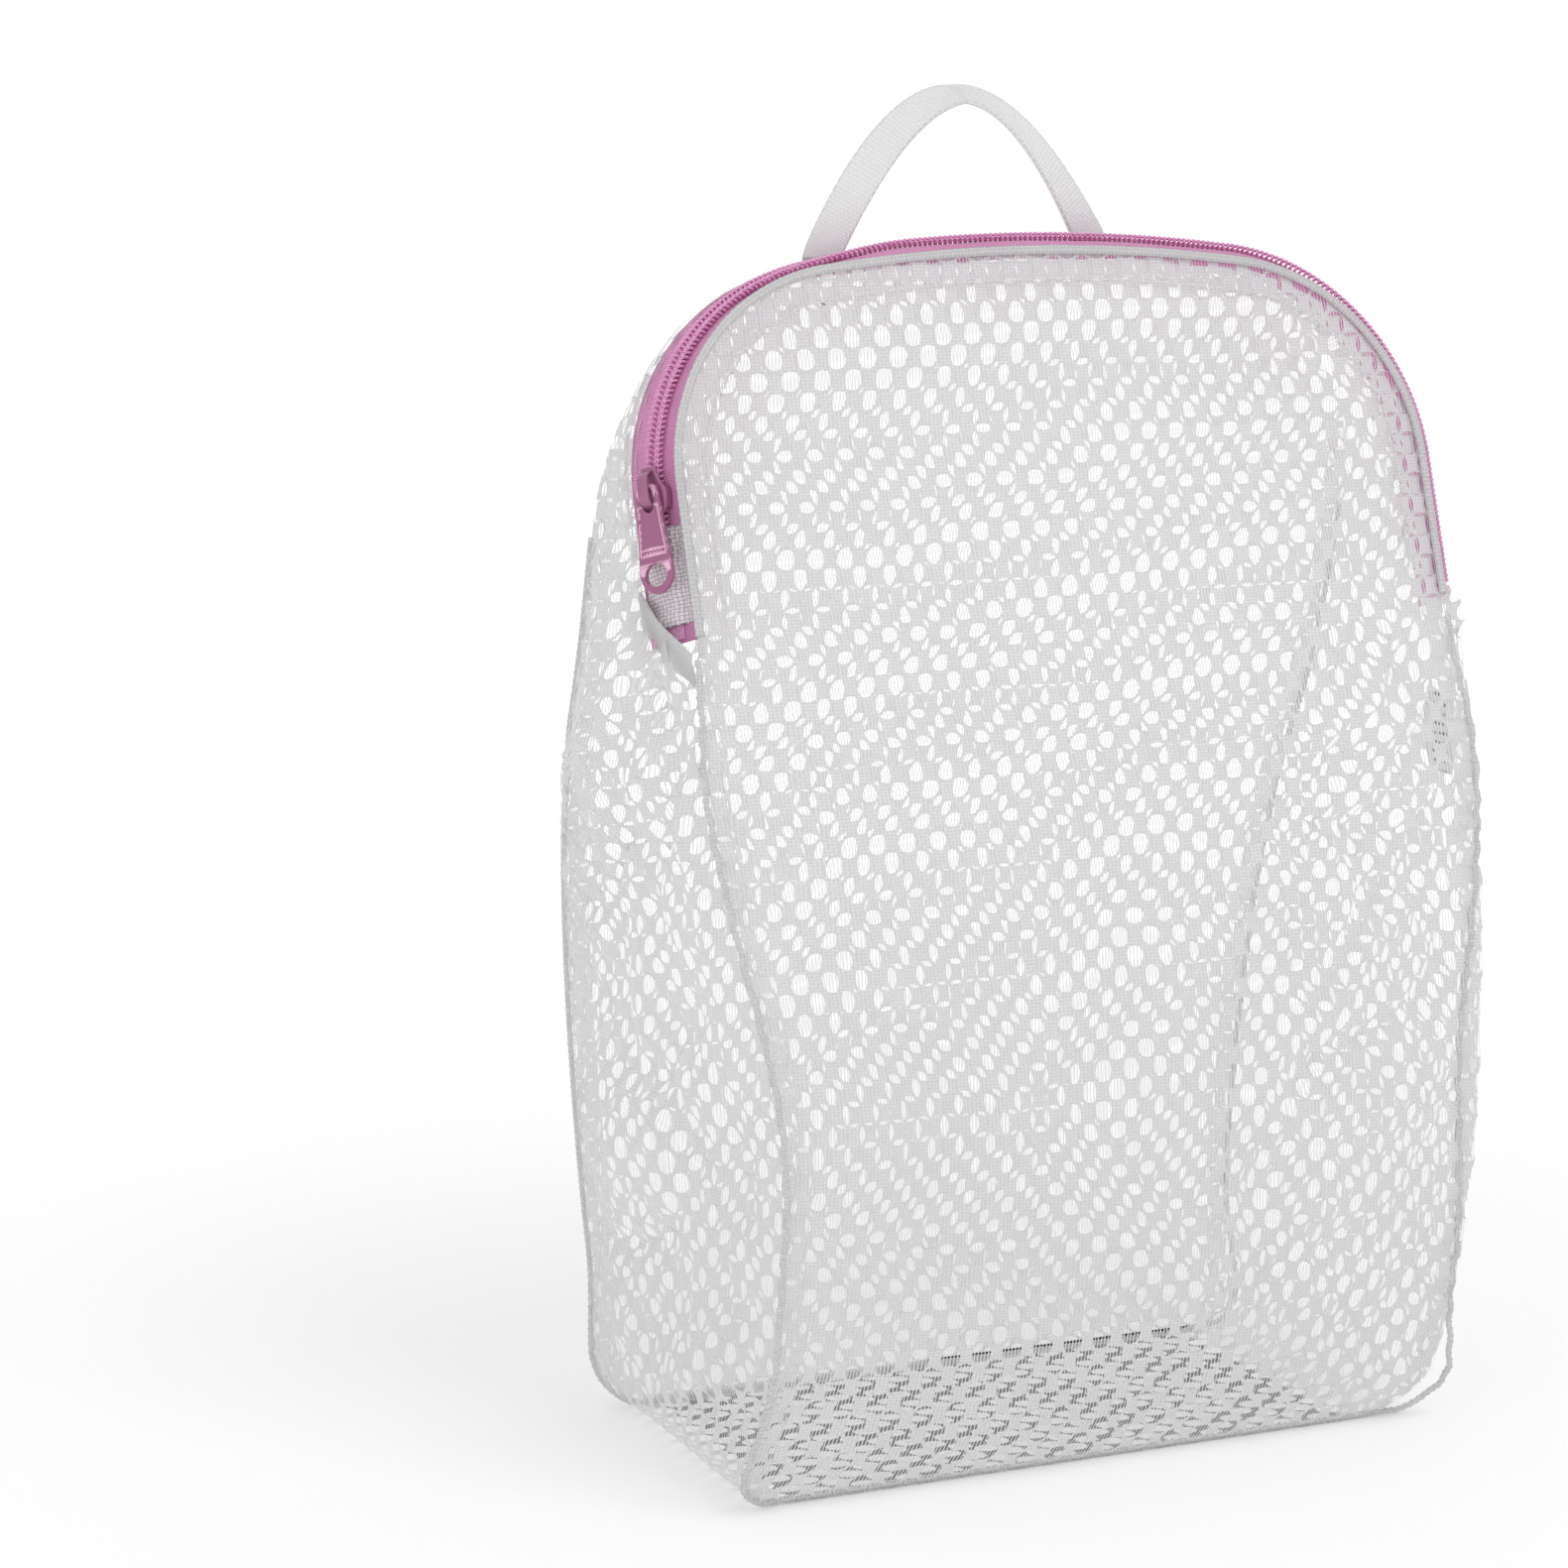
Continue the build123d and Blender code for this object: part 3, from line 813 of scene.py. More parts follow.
def seam_band(name, half, top, sew):
    """Doubled net along both side seams and the foot of a panel."""
    def inside(across, up):
        limit = half(min(max(up, 0), top - 0.001))
        return -0.002 < up < top + 0.002 and abs(across) < limit + allowance_slack and (
            abs(across) > limit - allowance - allowance_slack or up < allowance_slack)

    def trim(across, up):
        up = max(0.0, min(up, top - 0.0005))
        limit = half(up)
        return math.copysign(max(limit - allowance, min(limit, abs(across))), across), up

    cloth = cut_net((-half_width - pitch, 0), (half_width + pitch, top), inside, trim, second_shift)
    band = sew_net(cloth, name, lambda across, up: sew(across, up, -allowance_behind))
    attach(band, "bag")
    return band


front_allowance = seam_band("front_allowance", front_half, front_to_rim + 0.004, sew_front)
back_allowance = seam_band("back_allowance", back_half, back_top - 0.05, sew_back)

# ---- Seams -------------------------------------------------------------------------------
# Where two panels meet, their raw edges stand up as a thin ridge, bound with an overlocked
# white thread that is wrapped round and round it.
ridge_radius = 0.0008
ridge_lift = 0.0003
overlock_pitch = 0.0021
overlock_radius = 0.00014
overlock_off = 0.00012
points_a_turn = 7
white_thread = cloth_material("white_thread", (0.62, 0.62, 0.63), (0.80, 0.80, 0.80), across=1500,
                              up=1500, depth=0.0001, roughness=0.6)


def thread_piece(name, lines, radius, material, sides=1):
    """A mesh of round threads that follow the given lines."""
    path = bpy.data.curves.new(name, "CURVE")
    path.dimensions = "3D"
    path.bevel_depth = radius
    path.bevel_resolution = sides
    path.use_fill_caps = True
    for line in lines:
        spline = path.splines.new("POLY")
        spline.points.add(len(line) - 1)
        for point, spot in zip(spline.points, line):
            point.co = (*spot, 1)
    holder = bpy.data.objects.new(name + "_path", path)
    mesh = bpy.data.meshes.new_from_object(holder)
    bpy.data.objects.remove(holder)
    bpy.data.curves.remove(path)
    mesh.name = name
    if not mesh.uv_layers:
        mesh.uv_layers.new(name="cut")
    mesh.uv_layers[0].name = "cut"
    for face in mesh.polygons:
        face.use_smooth = True
    for loop in mesh.loops:
        spot = mesh.vertices[loop.vertex_index].co
        mesh.uv_layers["cut"].data[loop.index].uv = (spot.x + spot.y, spot.z)
    mesh.materials.clear()
    mesh.materials.append(material)
    piece = bpy.data.objects.new(name, mesh)
    bpy.context.collection.objects.link(piece)
    return piece


def along_outline(half, place, top, steps_up=150, steps_across=60):
    """The seam line of a panel, down its left side, along its foot and up its right side."""
    left = []
    for n in range(steps_up + 1):
        up = top * (steps_up - n) / steps_up
        left.append(place(-half(up), up))
    right = [Vector((-spot.x, spot.y, spot.z)) for spot in reversed(left)]
    width = half(0.0)
    foot = [place(-width + 2 * width * n / steps_across, 0.0) for n in range(1, steps_across)]
    return left + foot + right


def wrapped(line, radius, turn_pitch):
    """A thread wound round a line."""
    spots = []
    travelled = 0.0
    for near, far in zip(line, line[1:]):
        step = (far - near).length
        direction = (far - near).normalized()
        side = direction.cross(Vector((0.3, 1, 0.2))).normalized()
        other = direction.cross(side)
        count = max(1, int(step / turn_pitch * points_a_turn))
        for n in range(count):
            turn = 2 * math.pi * (travelled + step * n / count) / turn_pitch
            around = math.cos(turn) * side + math.sin(turn) * other
            spots.append(near.lerp(far, n / count) + radius * around)
        travelled += step
    return spots


for name, half, place, top, hidden in (
        ("front_seam", front_half, sew_front, front_to_rim - 0.002, "front_seam_binding"),
        ("back_seam", back_half, sew_back, back_top - 0.075, "back_seam_binding")):
    line = [Vector((spot.x * 1.002, spot.y, max(spot.z, ridge_radius + ridge_lift)))
            for spot in along_outline(half, place, top)]
    ridge = thread_piece(name, [line], ridge_radius, net_ribs, 2)
    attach(ridge, "bag")
    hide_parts(hidden)
    winding = wrapped(line, ridge_radius + overlock_off, overlock_pitch)
    binding = thread_piece(name + "_thread", [winding], overlock_radius, white_thread)
    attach(binding, "bag")

# ---- Hem stitches ------------------------------------------------------------------------
# One row of lockstitch in white polyester thread, which holds the folded hem down along its
# inner edge.
stitch_pitch = 0.0030
stitch_share = 0.72
stitch_start = 0.006
stitch_proud = 0.0011
stitch_dip = 0.0003
stitch_radius = 0.00022
stitch_in = hem_drop + hem_width - 0.0012
hem_stitches = []
for n in range(int((rim_length - 2 * stitch_start) / stitch_pitch)):
    dash = []
    for part in range(4):
        along = stitch_start + stitch_pitch * (n + stitch_share * part / 3)
        x, rise, out_x, out_up = rim_flat(along)
        sunk = -stitch_dip if part in (0, 3) else stitch_dip
        dash.append(sew_front(x - stitch_in * out_x, front_to_rim + rise - stitch_in * out_up,
                              stitch_proud + sunk))
    hem_stitches.append(dash)
hem_thread = thread_piece("hem_thread", hem_stitches, stitch_radius, white_thread)
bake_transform(hem_thread)

# ---- Zip tape ----------------------------------------------------------------------------
# Two woven polyester tapes, dyed orchid pink. The back one lies flat behind the coil, and the
# front one slopes down over the panel's edge, so that most of it is seen from the front.
tape_start = 0.004
tape_thick = 0.0005
tape_steps = 500
zip_turn = math.radians(18)
tilt_end = 0.160
tilt_reach = 0.045
# The tape's pink in shade and in light, mixed by the weave's shade mask: painted light and shade.
zip_pink_shaded = (0.46, 0.05, 0.26)
zip_pink_lit = (0.86, 0.40, 0.68)
zip_tape = cloth_material("zip_tape", zip_pink_shaded, zip_pink_lit, across=1300, up=2200,
                          depth=0.0002, roughness=0.5, sheen=0.35)


def cloth_strip(name, long, wide, steps_long, steps_wide, place, thick, material):
    """A strip of cloth, flat in (along, across), moved by place() and given a thickness."""
    shape = bmesh.new()
    bmesh.ops.create_grid(shape, x_segments=steps_long, y_segments=steps_wide, size=0.5)
    bmesh.ops.translate(shape, vec=(0.5, 0.5, 0), verts=shape.verts)
    bmesh.ops.scale(shape, vec=(long, wide, 1), verts=shape.verts)
    uv = shape.loops.layers.uv.new("cut")
    for face in shape.faces:
        face.smooth = True
        for loop in face.loops:
            loop[uv].uv = loop.vert.co.xy
    for vert in shape.verts:
        vert.co = place(vert.co.x, vert.co.y)
    piece = make_piece(shape, name, material)
    thicken = piece.modifiers.new("thickness", "SOLIDIFY")
    thicken.thickness = thick
    thicken.offset = 0
    return piece


tape_long = rim_length - 2 * tape_start
front_profile = [(-0.0001, 0.0), (-0.0026, -0.0003), (-0.0048, -0.0017), (-0.0073, -0.0039),
                 (-0.0071, -0.0064)]
back_tape_wide = 0.0102
front_profile_long = sum(math.dist(a, b) for a, b in zip(front_profile, front_profile[1:]))


def profile_spot(profile, across):
    """Depth and height at a length across a bent profile."""
    for near, far in zip(profile, profile[1:]):
        part = math.dist(near, far)
        if across <= part + 1e-9:
            return (near[0] + (far[0] - near[0]) * across / part,
                    near[1] + (far[1] - near[1]) * across / part)
        across -= part
    return profile[-1]


def zip_tilt(along):
    """How far the zip is turned to the front, from 0 on its top to 1 round its left corner."""
    return ease((tilt_end - along) / tilt_reach)


def on_zip(along, out, back):
    """A point of the zip, which is turned forwards about its back edge on the left leg."""
    turn = zip_turn * zip_tilt(along)
    if out < 0:
        out *= 1 - 0.9 * zip_tilt(along)
    lean = back - tape_back
    return on_rim(along, out * math.cos(turn) + lean * math.sin(turn),
                  tape_back + lean * math.cos(turn) - out * math.sin(turn))


def front_tape_place(along, across):
    """Place of a point of the front tape."""
    back, out = profile_spot(front_profile, across)
    ripple = 0.0003 * math.sin(along * 180) * across / front_profile_long
    return on_zip(tape_start + along, out + ripple, back)


front_tape = cloth_strip("front_tape", tape_long, front_profile_long, tape_steps, 10,
                         front_tape_place, tape_thick, zip_tape)
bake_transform(front_tape)
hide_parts("zip_tape_front_left", "zip_tape_front_right", "zip_tape_front_flap")



def back_tape_place(along, across):
    """Place of a point of the back tape."""
    return on_zip(tape_start + along, 0.0, 0.0001 + across)


back_tape = cloth_strip("back_tape", tape_long, back_tape_wide, tape_steps, 6, back_tape_place,
                        tape_thick, zip_tape)
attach(back_tape, "bag")
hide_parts("zip_tape_back")

# ---- Hem edge ----------------------------------------------------------------------------
# The front hem's folded edge: a narrow band of the same net, pressed solid where it turns back
# beside the tape.
edge_wide = 0.0022
edge_lap = 0.0004
edge_proud = 0.0012
edge_round = 0.0005
edge_thick = 0.0004


def hem_edge_place(along, across):
    """Place of a point of the folded edge."""
    x, rise, out_x, out_up = rim_flat(tape_start + along)
    inset = hem_drop - edge_lap + across
    spot = sew_front(x - inset * out_x, front_to_rim + rise - inset * out_up, edge_proud)
    return spot - edge_round * math.sin(math.pi * across / edge_wide) * rim_back


hem_edge = cloth_strip("hem_edge", tape_long, edge_wide, tape_steps, 4, hem_edge_place, edge_thick,
                       net_ribs)
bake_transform(hem_edge)

# ---- Zip coil ----------------------------------------------------------------------------
# Two rows of nylon coil that hook into each other, half a turn apart, each sewn to its tape
# with two lines of thread.
coil_pitch = 0.0015
coil_wire = 0.00034
coil_middle = 0.00150
coil_swing = 0.00140
coil_low = 0.0345
coil_high = rim_length - 0.007
coil_out = 0.00115
coil_rise = 0.0008
coil_turns = int((coil_high - coil_low) / coil_pitch)
points_a_coil = 10
coil_thread = 0.00019
thread_out = 0.0021
near_row, far_row = 0.00155, 0.0024


def dyed_nylon(name, dark, light, roughness):
    """Dyed nylon whose colour runs at random between a shaded and a lit tone: painted light and shade.
    """
    material = bpy.data.materials.new(name)
    material.use_nodes = True
    tree = material.node_tree
    look = tree.nodes["Principled BSDF"]
    spot = tree.nodes.new("ShaderNodeTexCoord")
    painted_light_patch = tree.nodes.new("ShaderNodeTexNoise")
    painted_light_patch.inputs["Scale"].default_value = 900
    painted_light_patch.inputs["Detail"].default_value = 3
    tree.links.new(spot.outputs["Object"], painted_light_patch.inputs["Vector"])
    tint_by(tree, painted_light_patch.outputs["Fac"], dark, light)
    raise_by(tree, painted_light_patch.outputs["Fac"], depth=0.00003, strength=1.0)
    look.inputs["Roughness"].default_value = roughness
    look.inputs["Subsurface Weight"].default_value = 0.1
    look.inputs["Subsurface Radius"].default_value = (0.001, 0.0005, 0.0008)
    return material


# Deep magenta and pale pink: the coil's colour in shade and in its highlights, painted at random.
coil_nylon = dyed_nylon("coil_nylon", (0.52, 0.06, 0.30), (0.88, 0.46, 0.72), roughness=0.25)
pink_thread = dyed_nylon("pink_thread", (0.66, 0.22, 0.50), (0.90, 0.60, 0.80), roughness=0.5)


def coil_line(side):
    """One row of coil, on the front (-1) or the back (1) tape."""
    start = coil_low + (coil_pitch / 2 if side > 0 else 0)
    line = []
    for n in range(points_a_coil * coil_turns):
        turn = 2 * math.pi * n / points_a_coil
        line.append(on_zip(start + coil_pitch * n / points_a_coil,
                           coil_out + coil_rise * math.sin(turn),
                           side * (coil_middle - coil_swing * math.cos(turn))))
    return line


def stitch_line(back):
    """A line of sewing thread that dips between the turns of the coil."""
    line = []
    for n in range(4 * coil_turns):
        out = thread_out - 0.00035 * (n % 4 == 0) + (0.0001 if n % 4 == 2 else 0)
        line.append(on_zip(coil_low + coil_pitch * n / 4, out, back))
    return line


for name, side, hidden in (
        ("front_coil", -1, ("zip_coil_front_left", "zip_coil_front_right", "zip_coil_front_flap")),
        ("back_coil", 1, ("zip_coil_back",))):
    coil = thread_piece(name, [coil_line(side)], coil_wire, coil_nylon)
    rows = [stitch_line(side * near_row), stitch_line(side * far_row)]
    stitches = thread_piece(name + "_thread", rows, coil_thread, pink_thread)
    for piece, slot_name in ((coil, "zip_coil"), (stitches, "thread")):
        if side < 0:
            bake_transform(piece)
        else:
            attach(piece, "bag")
    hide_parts(*hidden)

# ---- Zip ends ----------------------------------------------------------------------------
# Pink thread wound over the two tapes at both ends of the zip, so that the slider can't run off
# and the tapes can't come apart.
bar_first = 0.0052
bar_apart = 0.0005
bar_half = 0.0032
bar_low, bar_high = 0.0005, 0.0008
bar_thread = 0.00028
bars_each = 9
end_bars = []
for side in (-1, 1):
    for n in range(bars_each):
        along = bar_first + bar_apart * n
        along = along if side < 0 else rim_length - along
        end_bars.append([on_zip(along, bar_low, -bar_half), on_zip(along, bar_high, 0.0),
                         on_zip(along, bar_low, bar_half)])
zip_end_thread = thread_piece("zip_end_thread", end_bars, bar_thread, pink_thread)
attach(zip_end_thread, "bag")
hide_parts("zip_end_tacks")

# ---- Elastic guard -----------------------------------------------------------------------
# A short piece of white woven elastic sewn over the left end of the zip. The puller is tucked
# under it in the wash.
guard_low = 0.0085
guard_high = 0.0338
guard_wide = 0.0170
guard_thick = 0.0008
guard_lift = 0.0006
guard_ripple = 0.0003
guard_profile = [(0.0079, 0.0002), (0.0030, 0.0012), (-0.0030, 0.0010), (-0.0050, -0.0006),
                 (-0.0078, -0.0034)]
elastic_weave = cloth_material("elastic_weave", (0.42, 0.28, 0.36), (0.92, 0.90, 0.91), across=1000,
                               up=700, depth=0.0005, roughness=0.6, fuzz_amount=0.1)


def guard_place(along, across):
    """Place of a point of the guard, which lies over both tapes."""
    back, out = profile_spot(guard_profile, across)
    return on_zip(guard_low + along, out + guard_lift + guard_ripple * math.sin(along * 900), back)


guard = cloth_strip("elastic_guard", guard_high - guard_low, guard_wide, 40, 24, guard_place,
                    guard_thick, elastic_weave)
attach(guard, "bag")
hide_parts("zip_elastic_guard")

# ---- Fold over the zip end ---------------------------------------------------------------
# The top of the gusset's front edge, folded double and sewn slantwise over the zip's left end,
# so that only a narrowing tip of the tape shows below the guard.
fold_long = 0.027
fold_wide = 0.0102
fold_thick = 0.0006
fold_top, fold_behind = 0.0195, 0.0080
fold_lean, fold_fall = 0.66, 0.75


def fold_place(along, across):
    """Place of a point of the fold, which runs down and forwards over the zip's end."""
    rise = fold_top - fold_fall * along - fold_lean * across
    back = fold_behind - fold_lean * along + fold_fall * across
    out = 0.0026 * ease(1 - across / fold_wide) - 0.0045 * ease((along - 0.010) / 0.02)
    return on_rim(rise, out + 0.0006 + 0.0005 * math.sin(along * 420) * across / fold_wide, back)


end_fold = cloth_strip("zip_end_fold", fold_long, fold_wide, 60, 20, fold_place, fold_thick,
                       net_ribs)
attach(end_fold, "bag")

# ---- Slider ------------------------------------------------------------------------------
# A die-cast slider painted mauve: two shaped plates joined by a post, side flanges that hold
# the coil, and a bridge over the top for the puller.
slider_turn = math.radians(33)
slider_out = Vector((-math.cos(slider_turn), 0, 0)) - math.sin(slider_turn) * rim_back
slider_back = math.cos(slider_turn) * rim_back + Vector((-math.sin(slider_turn), 0, 0))
slider_middle = on_zip(corner_rise, 0.0, 0.0)
plate_low, plate_high = -0.0066, 0.0062
plate_thick = 0.0010
top_plate, bottom_plate = 0.0033, -0.0023
flange_half = 0.0004
bridge_half = 0.0058
bridge_foot, bridge_rise = 0.0040, 0.0031
bridge_draw = 0.86


def painted_metal(name, paint, edge_highlight_colour):
    """Smooth paint over cast metal, with a painted highlight along its sharp edges."""
    material = bpy.data.materials.new(name)
    material.use_nodes = True
    tree = material.node_tree
    look = tree.nodes["Principled BSDF"]
    spot = tree.nodes.new("ShaderNodeTexCoord")
    grain = tree.nodes.new("ShaderNodeTexNoise")
    grain.inputs["Scale"].default_value = 700
    grain.inputs["Detail"].default_value = 4
    tree.links.new(spot.outputs["Object"], grain.inputs["Vector"])
    # Pointiness picks out the sharp edges, where a paler pink is painted as a highlight.
    bent = tree.nodes.new("ShaderNodeNewGeometry")
    edges = tree.nodes.new("ShaderNodeMapRange")
    edges.inputs["From Min"].default_value = 0.52
    edges.inputs["From Max"].default_value = 0.60
    tree.links.new(bent.outputs["Pointiness"], edges.inputs["Value"])
    painted_edge_highlight = math_node(tree, "MULTIPLY", edges.outputs["Result"],
                           math_node(tree, "ADD", grain.outputs["Fac"], 0.35))
    tint_by(tree, painted_edge_highlight, paint, edge_highlight_colour)
    raise_by(tree, grain.outputs["Fac"], depth=0.00002, strength=0.4)
    look.inputs["Metallic"].default_value = 0.35
    look.inputs["Roughness"].default_value = 0.34
    look.inputs["Coat Weight"].default_value = 0.4
    look.inputs["Coat Roughness"].default_value = 0.2
    return material


# The paler pink is the painted edge highlight.
mauve_paint = painted_metal("mauve_paint", (0.34, 0.12, 0.235), (0.86, 0.50, 0.68))


def slider_spot(local):
    """Place on the bag of a point given as (back, up, out) of the slider's middle."""
    return slider_middle + local.x * slider_back + local.y * rim_up + local.z * slider_out


def add_slab(shape, half_at, low, high, bottom, top, rows=10, bevel=0.0003):
    """A plate whose half-width changes along it, with rounded edges, added to a shape."""
    slab = bmesh.new()
    bmesh.ops.create_grid(slab, x_segments=2, y_segments=rows, size=0.5)
    for vert in slab.verts:
        up = low + (high - low) * (vert.co.y + 0.5)
        vert.co = Vector((2 * vert.co.x * half_at(up), up, bottom))
    risen = bmesh.ops.extrude_face_region(slab, geom=slab.faces[:])
    lifted = [item for item in risen["geom"] if isinstance(item, bmesh.types.BMVert)]
    bmesh.ops.translate(slab, vec=(0, 0, top - bottom), verts=lifted)
    bmesh.ops.recalc_face_normals(slab, faces=slab.faces)
    sharp = [edge for edge in slab.edges
             if len(edge.link_faces) == 2 and edge.calc_face_angle(0) > 0.8]
    bmesh.ops.bevel(slab, geom=sharp, offset=bevel, segments=3, profile=0.5, affect="EDGES",
                    material=-1)
    add_part(shape, slab)


slider_shape = bmesh.new()
waist = smooth_curve([(plate_low, 0.0024), (-0.0056, 0.0038), (-0.0030, 0.0045), (-0.0004, 0.0046),
                      (0.0018, 0.0034), (0.0035, 0.0026), (plate_high, 0.0022)])
for bottom in (top_plate, bottom_plate):
    add_slab(slider_shape, waist, plate_low, plate_high, bottom, bottom + plate_thick, rows=16)
add_slab(slider_shape, lambda up: 0.0008, -0.0058, -0.0034, -0.0020, 0.0040, rows=3, bevel=0.0002)
for side in (-1, 1):
    flange = bmesh.new()
    add_slab(flange, lambda up: flange_half, -0.0050, 0.0008, 0.0008, 0.0042, rows=6, bevel=0.0002)
    for vert in flange.verts:
        vert.co.x += side * (waist(vert.co.y) - flange_half)
    add_part(slider_shape, flange)
bridge = bmesh.new()
add_slab(bridge, lambda up: 0.0015, -bridge_half, bridge_half, 0.0, 0.0009, rows=28, bevel=0.00025)
for vert in bridge.verts:
    arch = 1 - abs(vert.co.y / bridge_half) ** 4
    vert.co.z += bridge_foot + bridge_rise * max(arch, 0)
    vert.co.y *= bridge_draw
add_part(slider_shape, bridge)
for vert in slider_shape.verts:
    vert.co = slider_spot(vert.co)
for face in slider_shape.faces:
    face.smooth = True
bmesh.ops.recalc_face_normals(slider_shape, faces=slider_shape.faces)
slider = make_piece(slider_shape, "slider", mauve_paint)
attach(slider, "slider")
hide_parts("slider_body")

# ---- Puller ------------------------------------------------------------------------------
# A flat painted tab that hangs from the bridge: narrow at the top, wider towards a round hole
# at its end, with a raised rim and a sunken middle.
puller_long = 0.027
hole_up = -0.0220
hole_radius = 0.0034
slot_up = -0.0024
slot_radius = 0.0021
puller_out = 0.00565
puller_thick = 0.0015
panel_inset = 0.0009
panel_deep = 0.0004
pip_radius = 0.00033
pip_apart = 0.0011
pip_up = -0.0158
bar_radius = 0.0006
bar_long = 0.0052
bar_up = 0.0004
puller_top = 0.0013
puller_half = smooth_curve([(-puller_long, 0.0), (-0.0268, 0.0012), (-0.0255, 0.0032),
                            (-0.0238, 0.0045), (-0.0216, 0.0050), (-0.0180, 0.0047),
                            (-0.0100, 0.0040), (-0.0020, 0.0034), (0.0004, 0.0031),
                            (puller_top, 0.0024)])


def puller_slab(inset, low, high, bottom, top):
    """Part of the tab, as a mesh object for carving."""
    shape = bmesh.new()
    add_slab(shape, lambda up: max(puller_half(up) - inset, 0.0002), low, high, bottom, top, rows=40)
    return make_piece(shape, "tab", mauve_paint)


def carve(body, cutter):
    """Cut one object out of another and drop the cutter."""
    cut = body.modifiers.new("cut", "BOOLEAN")
    cut.operation = "DIFFERENCE"
    cut.object = cutter
    cut.solver = "EXACT"
    made = bpy.data.meshes.new_from_object(body.evaluated_get(bpy.context.evaluated_depsgraph_get()))
    body.modifiers.remove(cut)
    body.data = made
    bpy.data.objects.remove(cutter)


tab = puller_slab(0.0, -puller_long + 0.0002, puller_top, -puller_thick / 2, puller_thick / 2)
carve(tab, puller_slab(panel_inset, -0.0172, -0.0042, puller_thick / 2 - panel_deep, 0.002))
for radius, up, stretch in ((hole_radius, hole_up, 0.9), (slot_radius, slot_up, 1.71)):
    drill = bmesh.new()
    bmesh.ops.create_cone(drill, cap_ends=True, segments=40, radius1=radius, radius2=radius,
                          depth=0.006)
    bmesh.ops.scale(drill, vec=(1, stretch, 1), verts=drill.verts)
    bmesh.ops.translate(drill, vec=(0, up, 0), verts=drill.verts)
    carve(tab, make_piece(drill, "drill", mauve_paint))
puller_shape = bmesh.new()
puller_shape.from_mesh(tab.data)
bpy.data.objects.remove(tab)
for n in range(5):
    made = bmesh.ops.create_uvsphere(puller_shape, u_segments=10, v_segments=6, radius=pip_radius)
    pip = made["verts"]
    bmesh.ops.scale(puller_shape, vec=(1, 1.6, 0.6), verts=pip)
    bmesh.ops.translate(puller_shape, vec=(pip_apart * (n - 2), pip_up, puller_thick / 2 - panel_deep),
                        verts=pip)
made = bmesh.ops.create_cone(puller_shape, cap_ends=True, segments=20, radius1=bar_radius,
                             radius2=bar_radius, depth=bar_long)
bar = made["verts"]
bmesh.ops.rotate(puller_shape, verts=bar, matrix=Matrix.Rotation(math.pi / 2, 3, "Y"))
bmesh.ops.translate(puller_shape, vec=(0, bar_up, 0), verts=bar)
for vert in puller_shape.verts:
    vert.co = slider_spot(vert.co + Vector((0, 0, puller_out)))
bmesh.ops.recalc_face_normals(puller_shape, faces=puller_shape.faces)
puller = make_piece(puller_shape, "puller", mauve_paint)
round_edges = puller.modifiers.new("round", "BEVEL")
round_edges.width = 0.00018
round_edges.segments = 2
round_edges.limit_method = "ANGLE"
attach(puller, "puller")
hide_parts("slider_puller")

# ---- Handle ------------------------------------------------------------------------------
# A loop of white woven webbing. Its two ends are sewn flat behind the zip, and it turns edge-on
# over the top.
webbing_wide = 0.010
webbing_thick = 0.0010
handle_middle = (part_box("handle_webbing")[0][0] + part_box("handle_webbing")[1][0]) / 2
handle_span = 0.041
handle_rise = 0.042
handle_foot = 0.0108
foot_lift = 0.0019
foot_level = 0.014
twist_rate = 0.74
webbing = cloth_material("webbing", (0.76, 0.76, 0.76), (0.95, 0.95, 0.95), across=1100, up=1600,
                         depth=0.0002, roughness=0.7, fuzz_amount=0.15, sheen=0.2, through=0.3)


def crown_drop(x):
    """How far the rim's crown has fallen below its crest at a place across the bag."""
    return crown_radius - math.sqrt(crown_radius**2 - x**2)


def loop_spot(turn):
    """A point of the loop's middle line, for a turn of 0 to pi from its left foot."""
    part = -math.cos(turn) * abs(math.cos(turn)) ** 0.2
    x = handle_middle + handle_span * part
    foot = rim_foot + (crest - crown_drop(x) + 0.0008) * rim_up + handle_foot * rim_back
    risen = foot_lift + (handle_rise - foot_lift) * (1 - abs(part) ** 1.9)
    return Vector((x, foot.y, foot.z + risen))


loop_steps = 160
loop_path = [loop_spot(math.pi * n / loop_steps) for n in range(loop_steps + 1)]
loop_long = sum((far - near).length for near, far in zip(loop_path, loop_path[1:]))


def handle_place(along, across):
    """Place of a point of the webbing."""
    turn = math.pi * along / loop_long
    ahead = loop_spot(min(turn + 0.05, math.pi)) - loop_spot(max(turn - 0.05, 0))
    sewn = 1 - ease(min(along, loop_long - along) / foot_level)
    level = Vector((math.copysign(1, turn - math.pi / 2), 0, 0))
    across_path = Vector((-ahead.z, 0, ahead.x)).normalized().lerp(level, sewn).normalized()
    twist = twist_rate * min(turn, math.pi - turn)
    sideways = math.cos(twist) * across_path + Vector((0, math.sin(twist), 0))
    return loop_spot(turn) + (across - webbing_wide / 2) * sideways


handle = cloth_strip("handle", loop_long, webbing_wide, 200, 12, handle_place, webbing_thick,
                     webbing)
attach(handle, "handle")
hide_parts("handle_webbing")

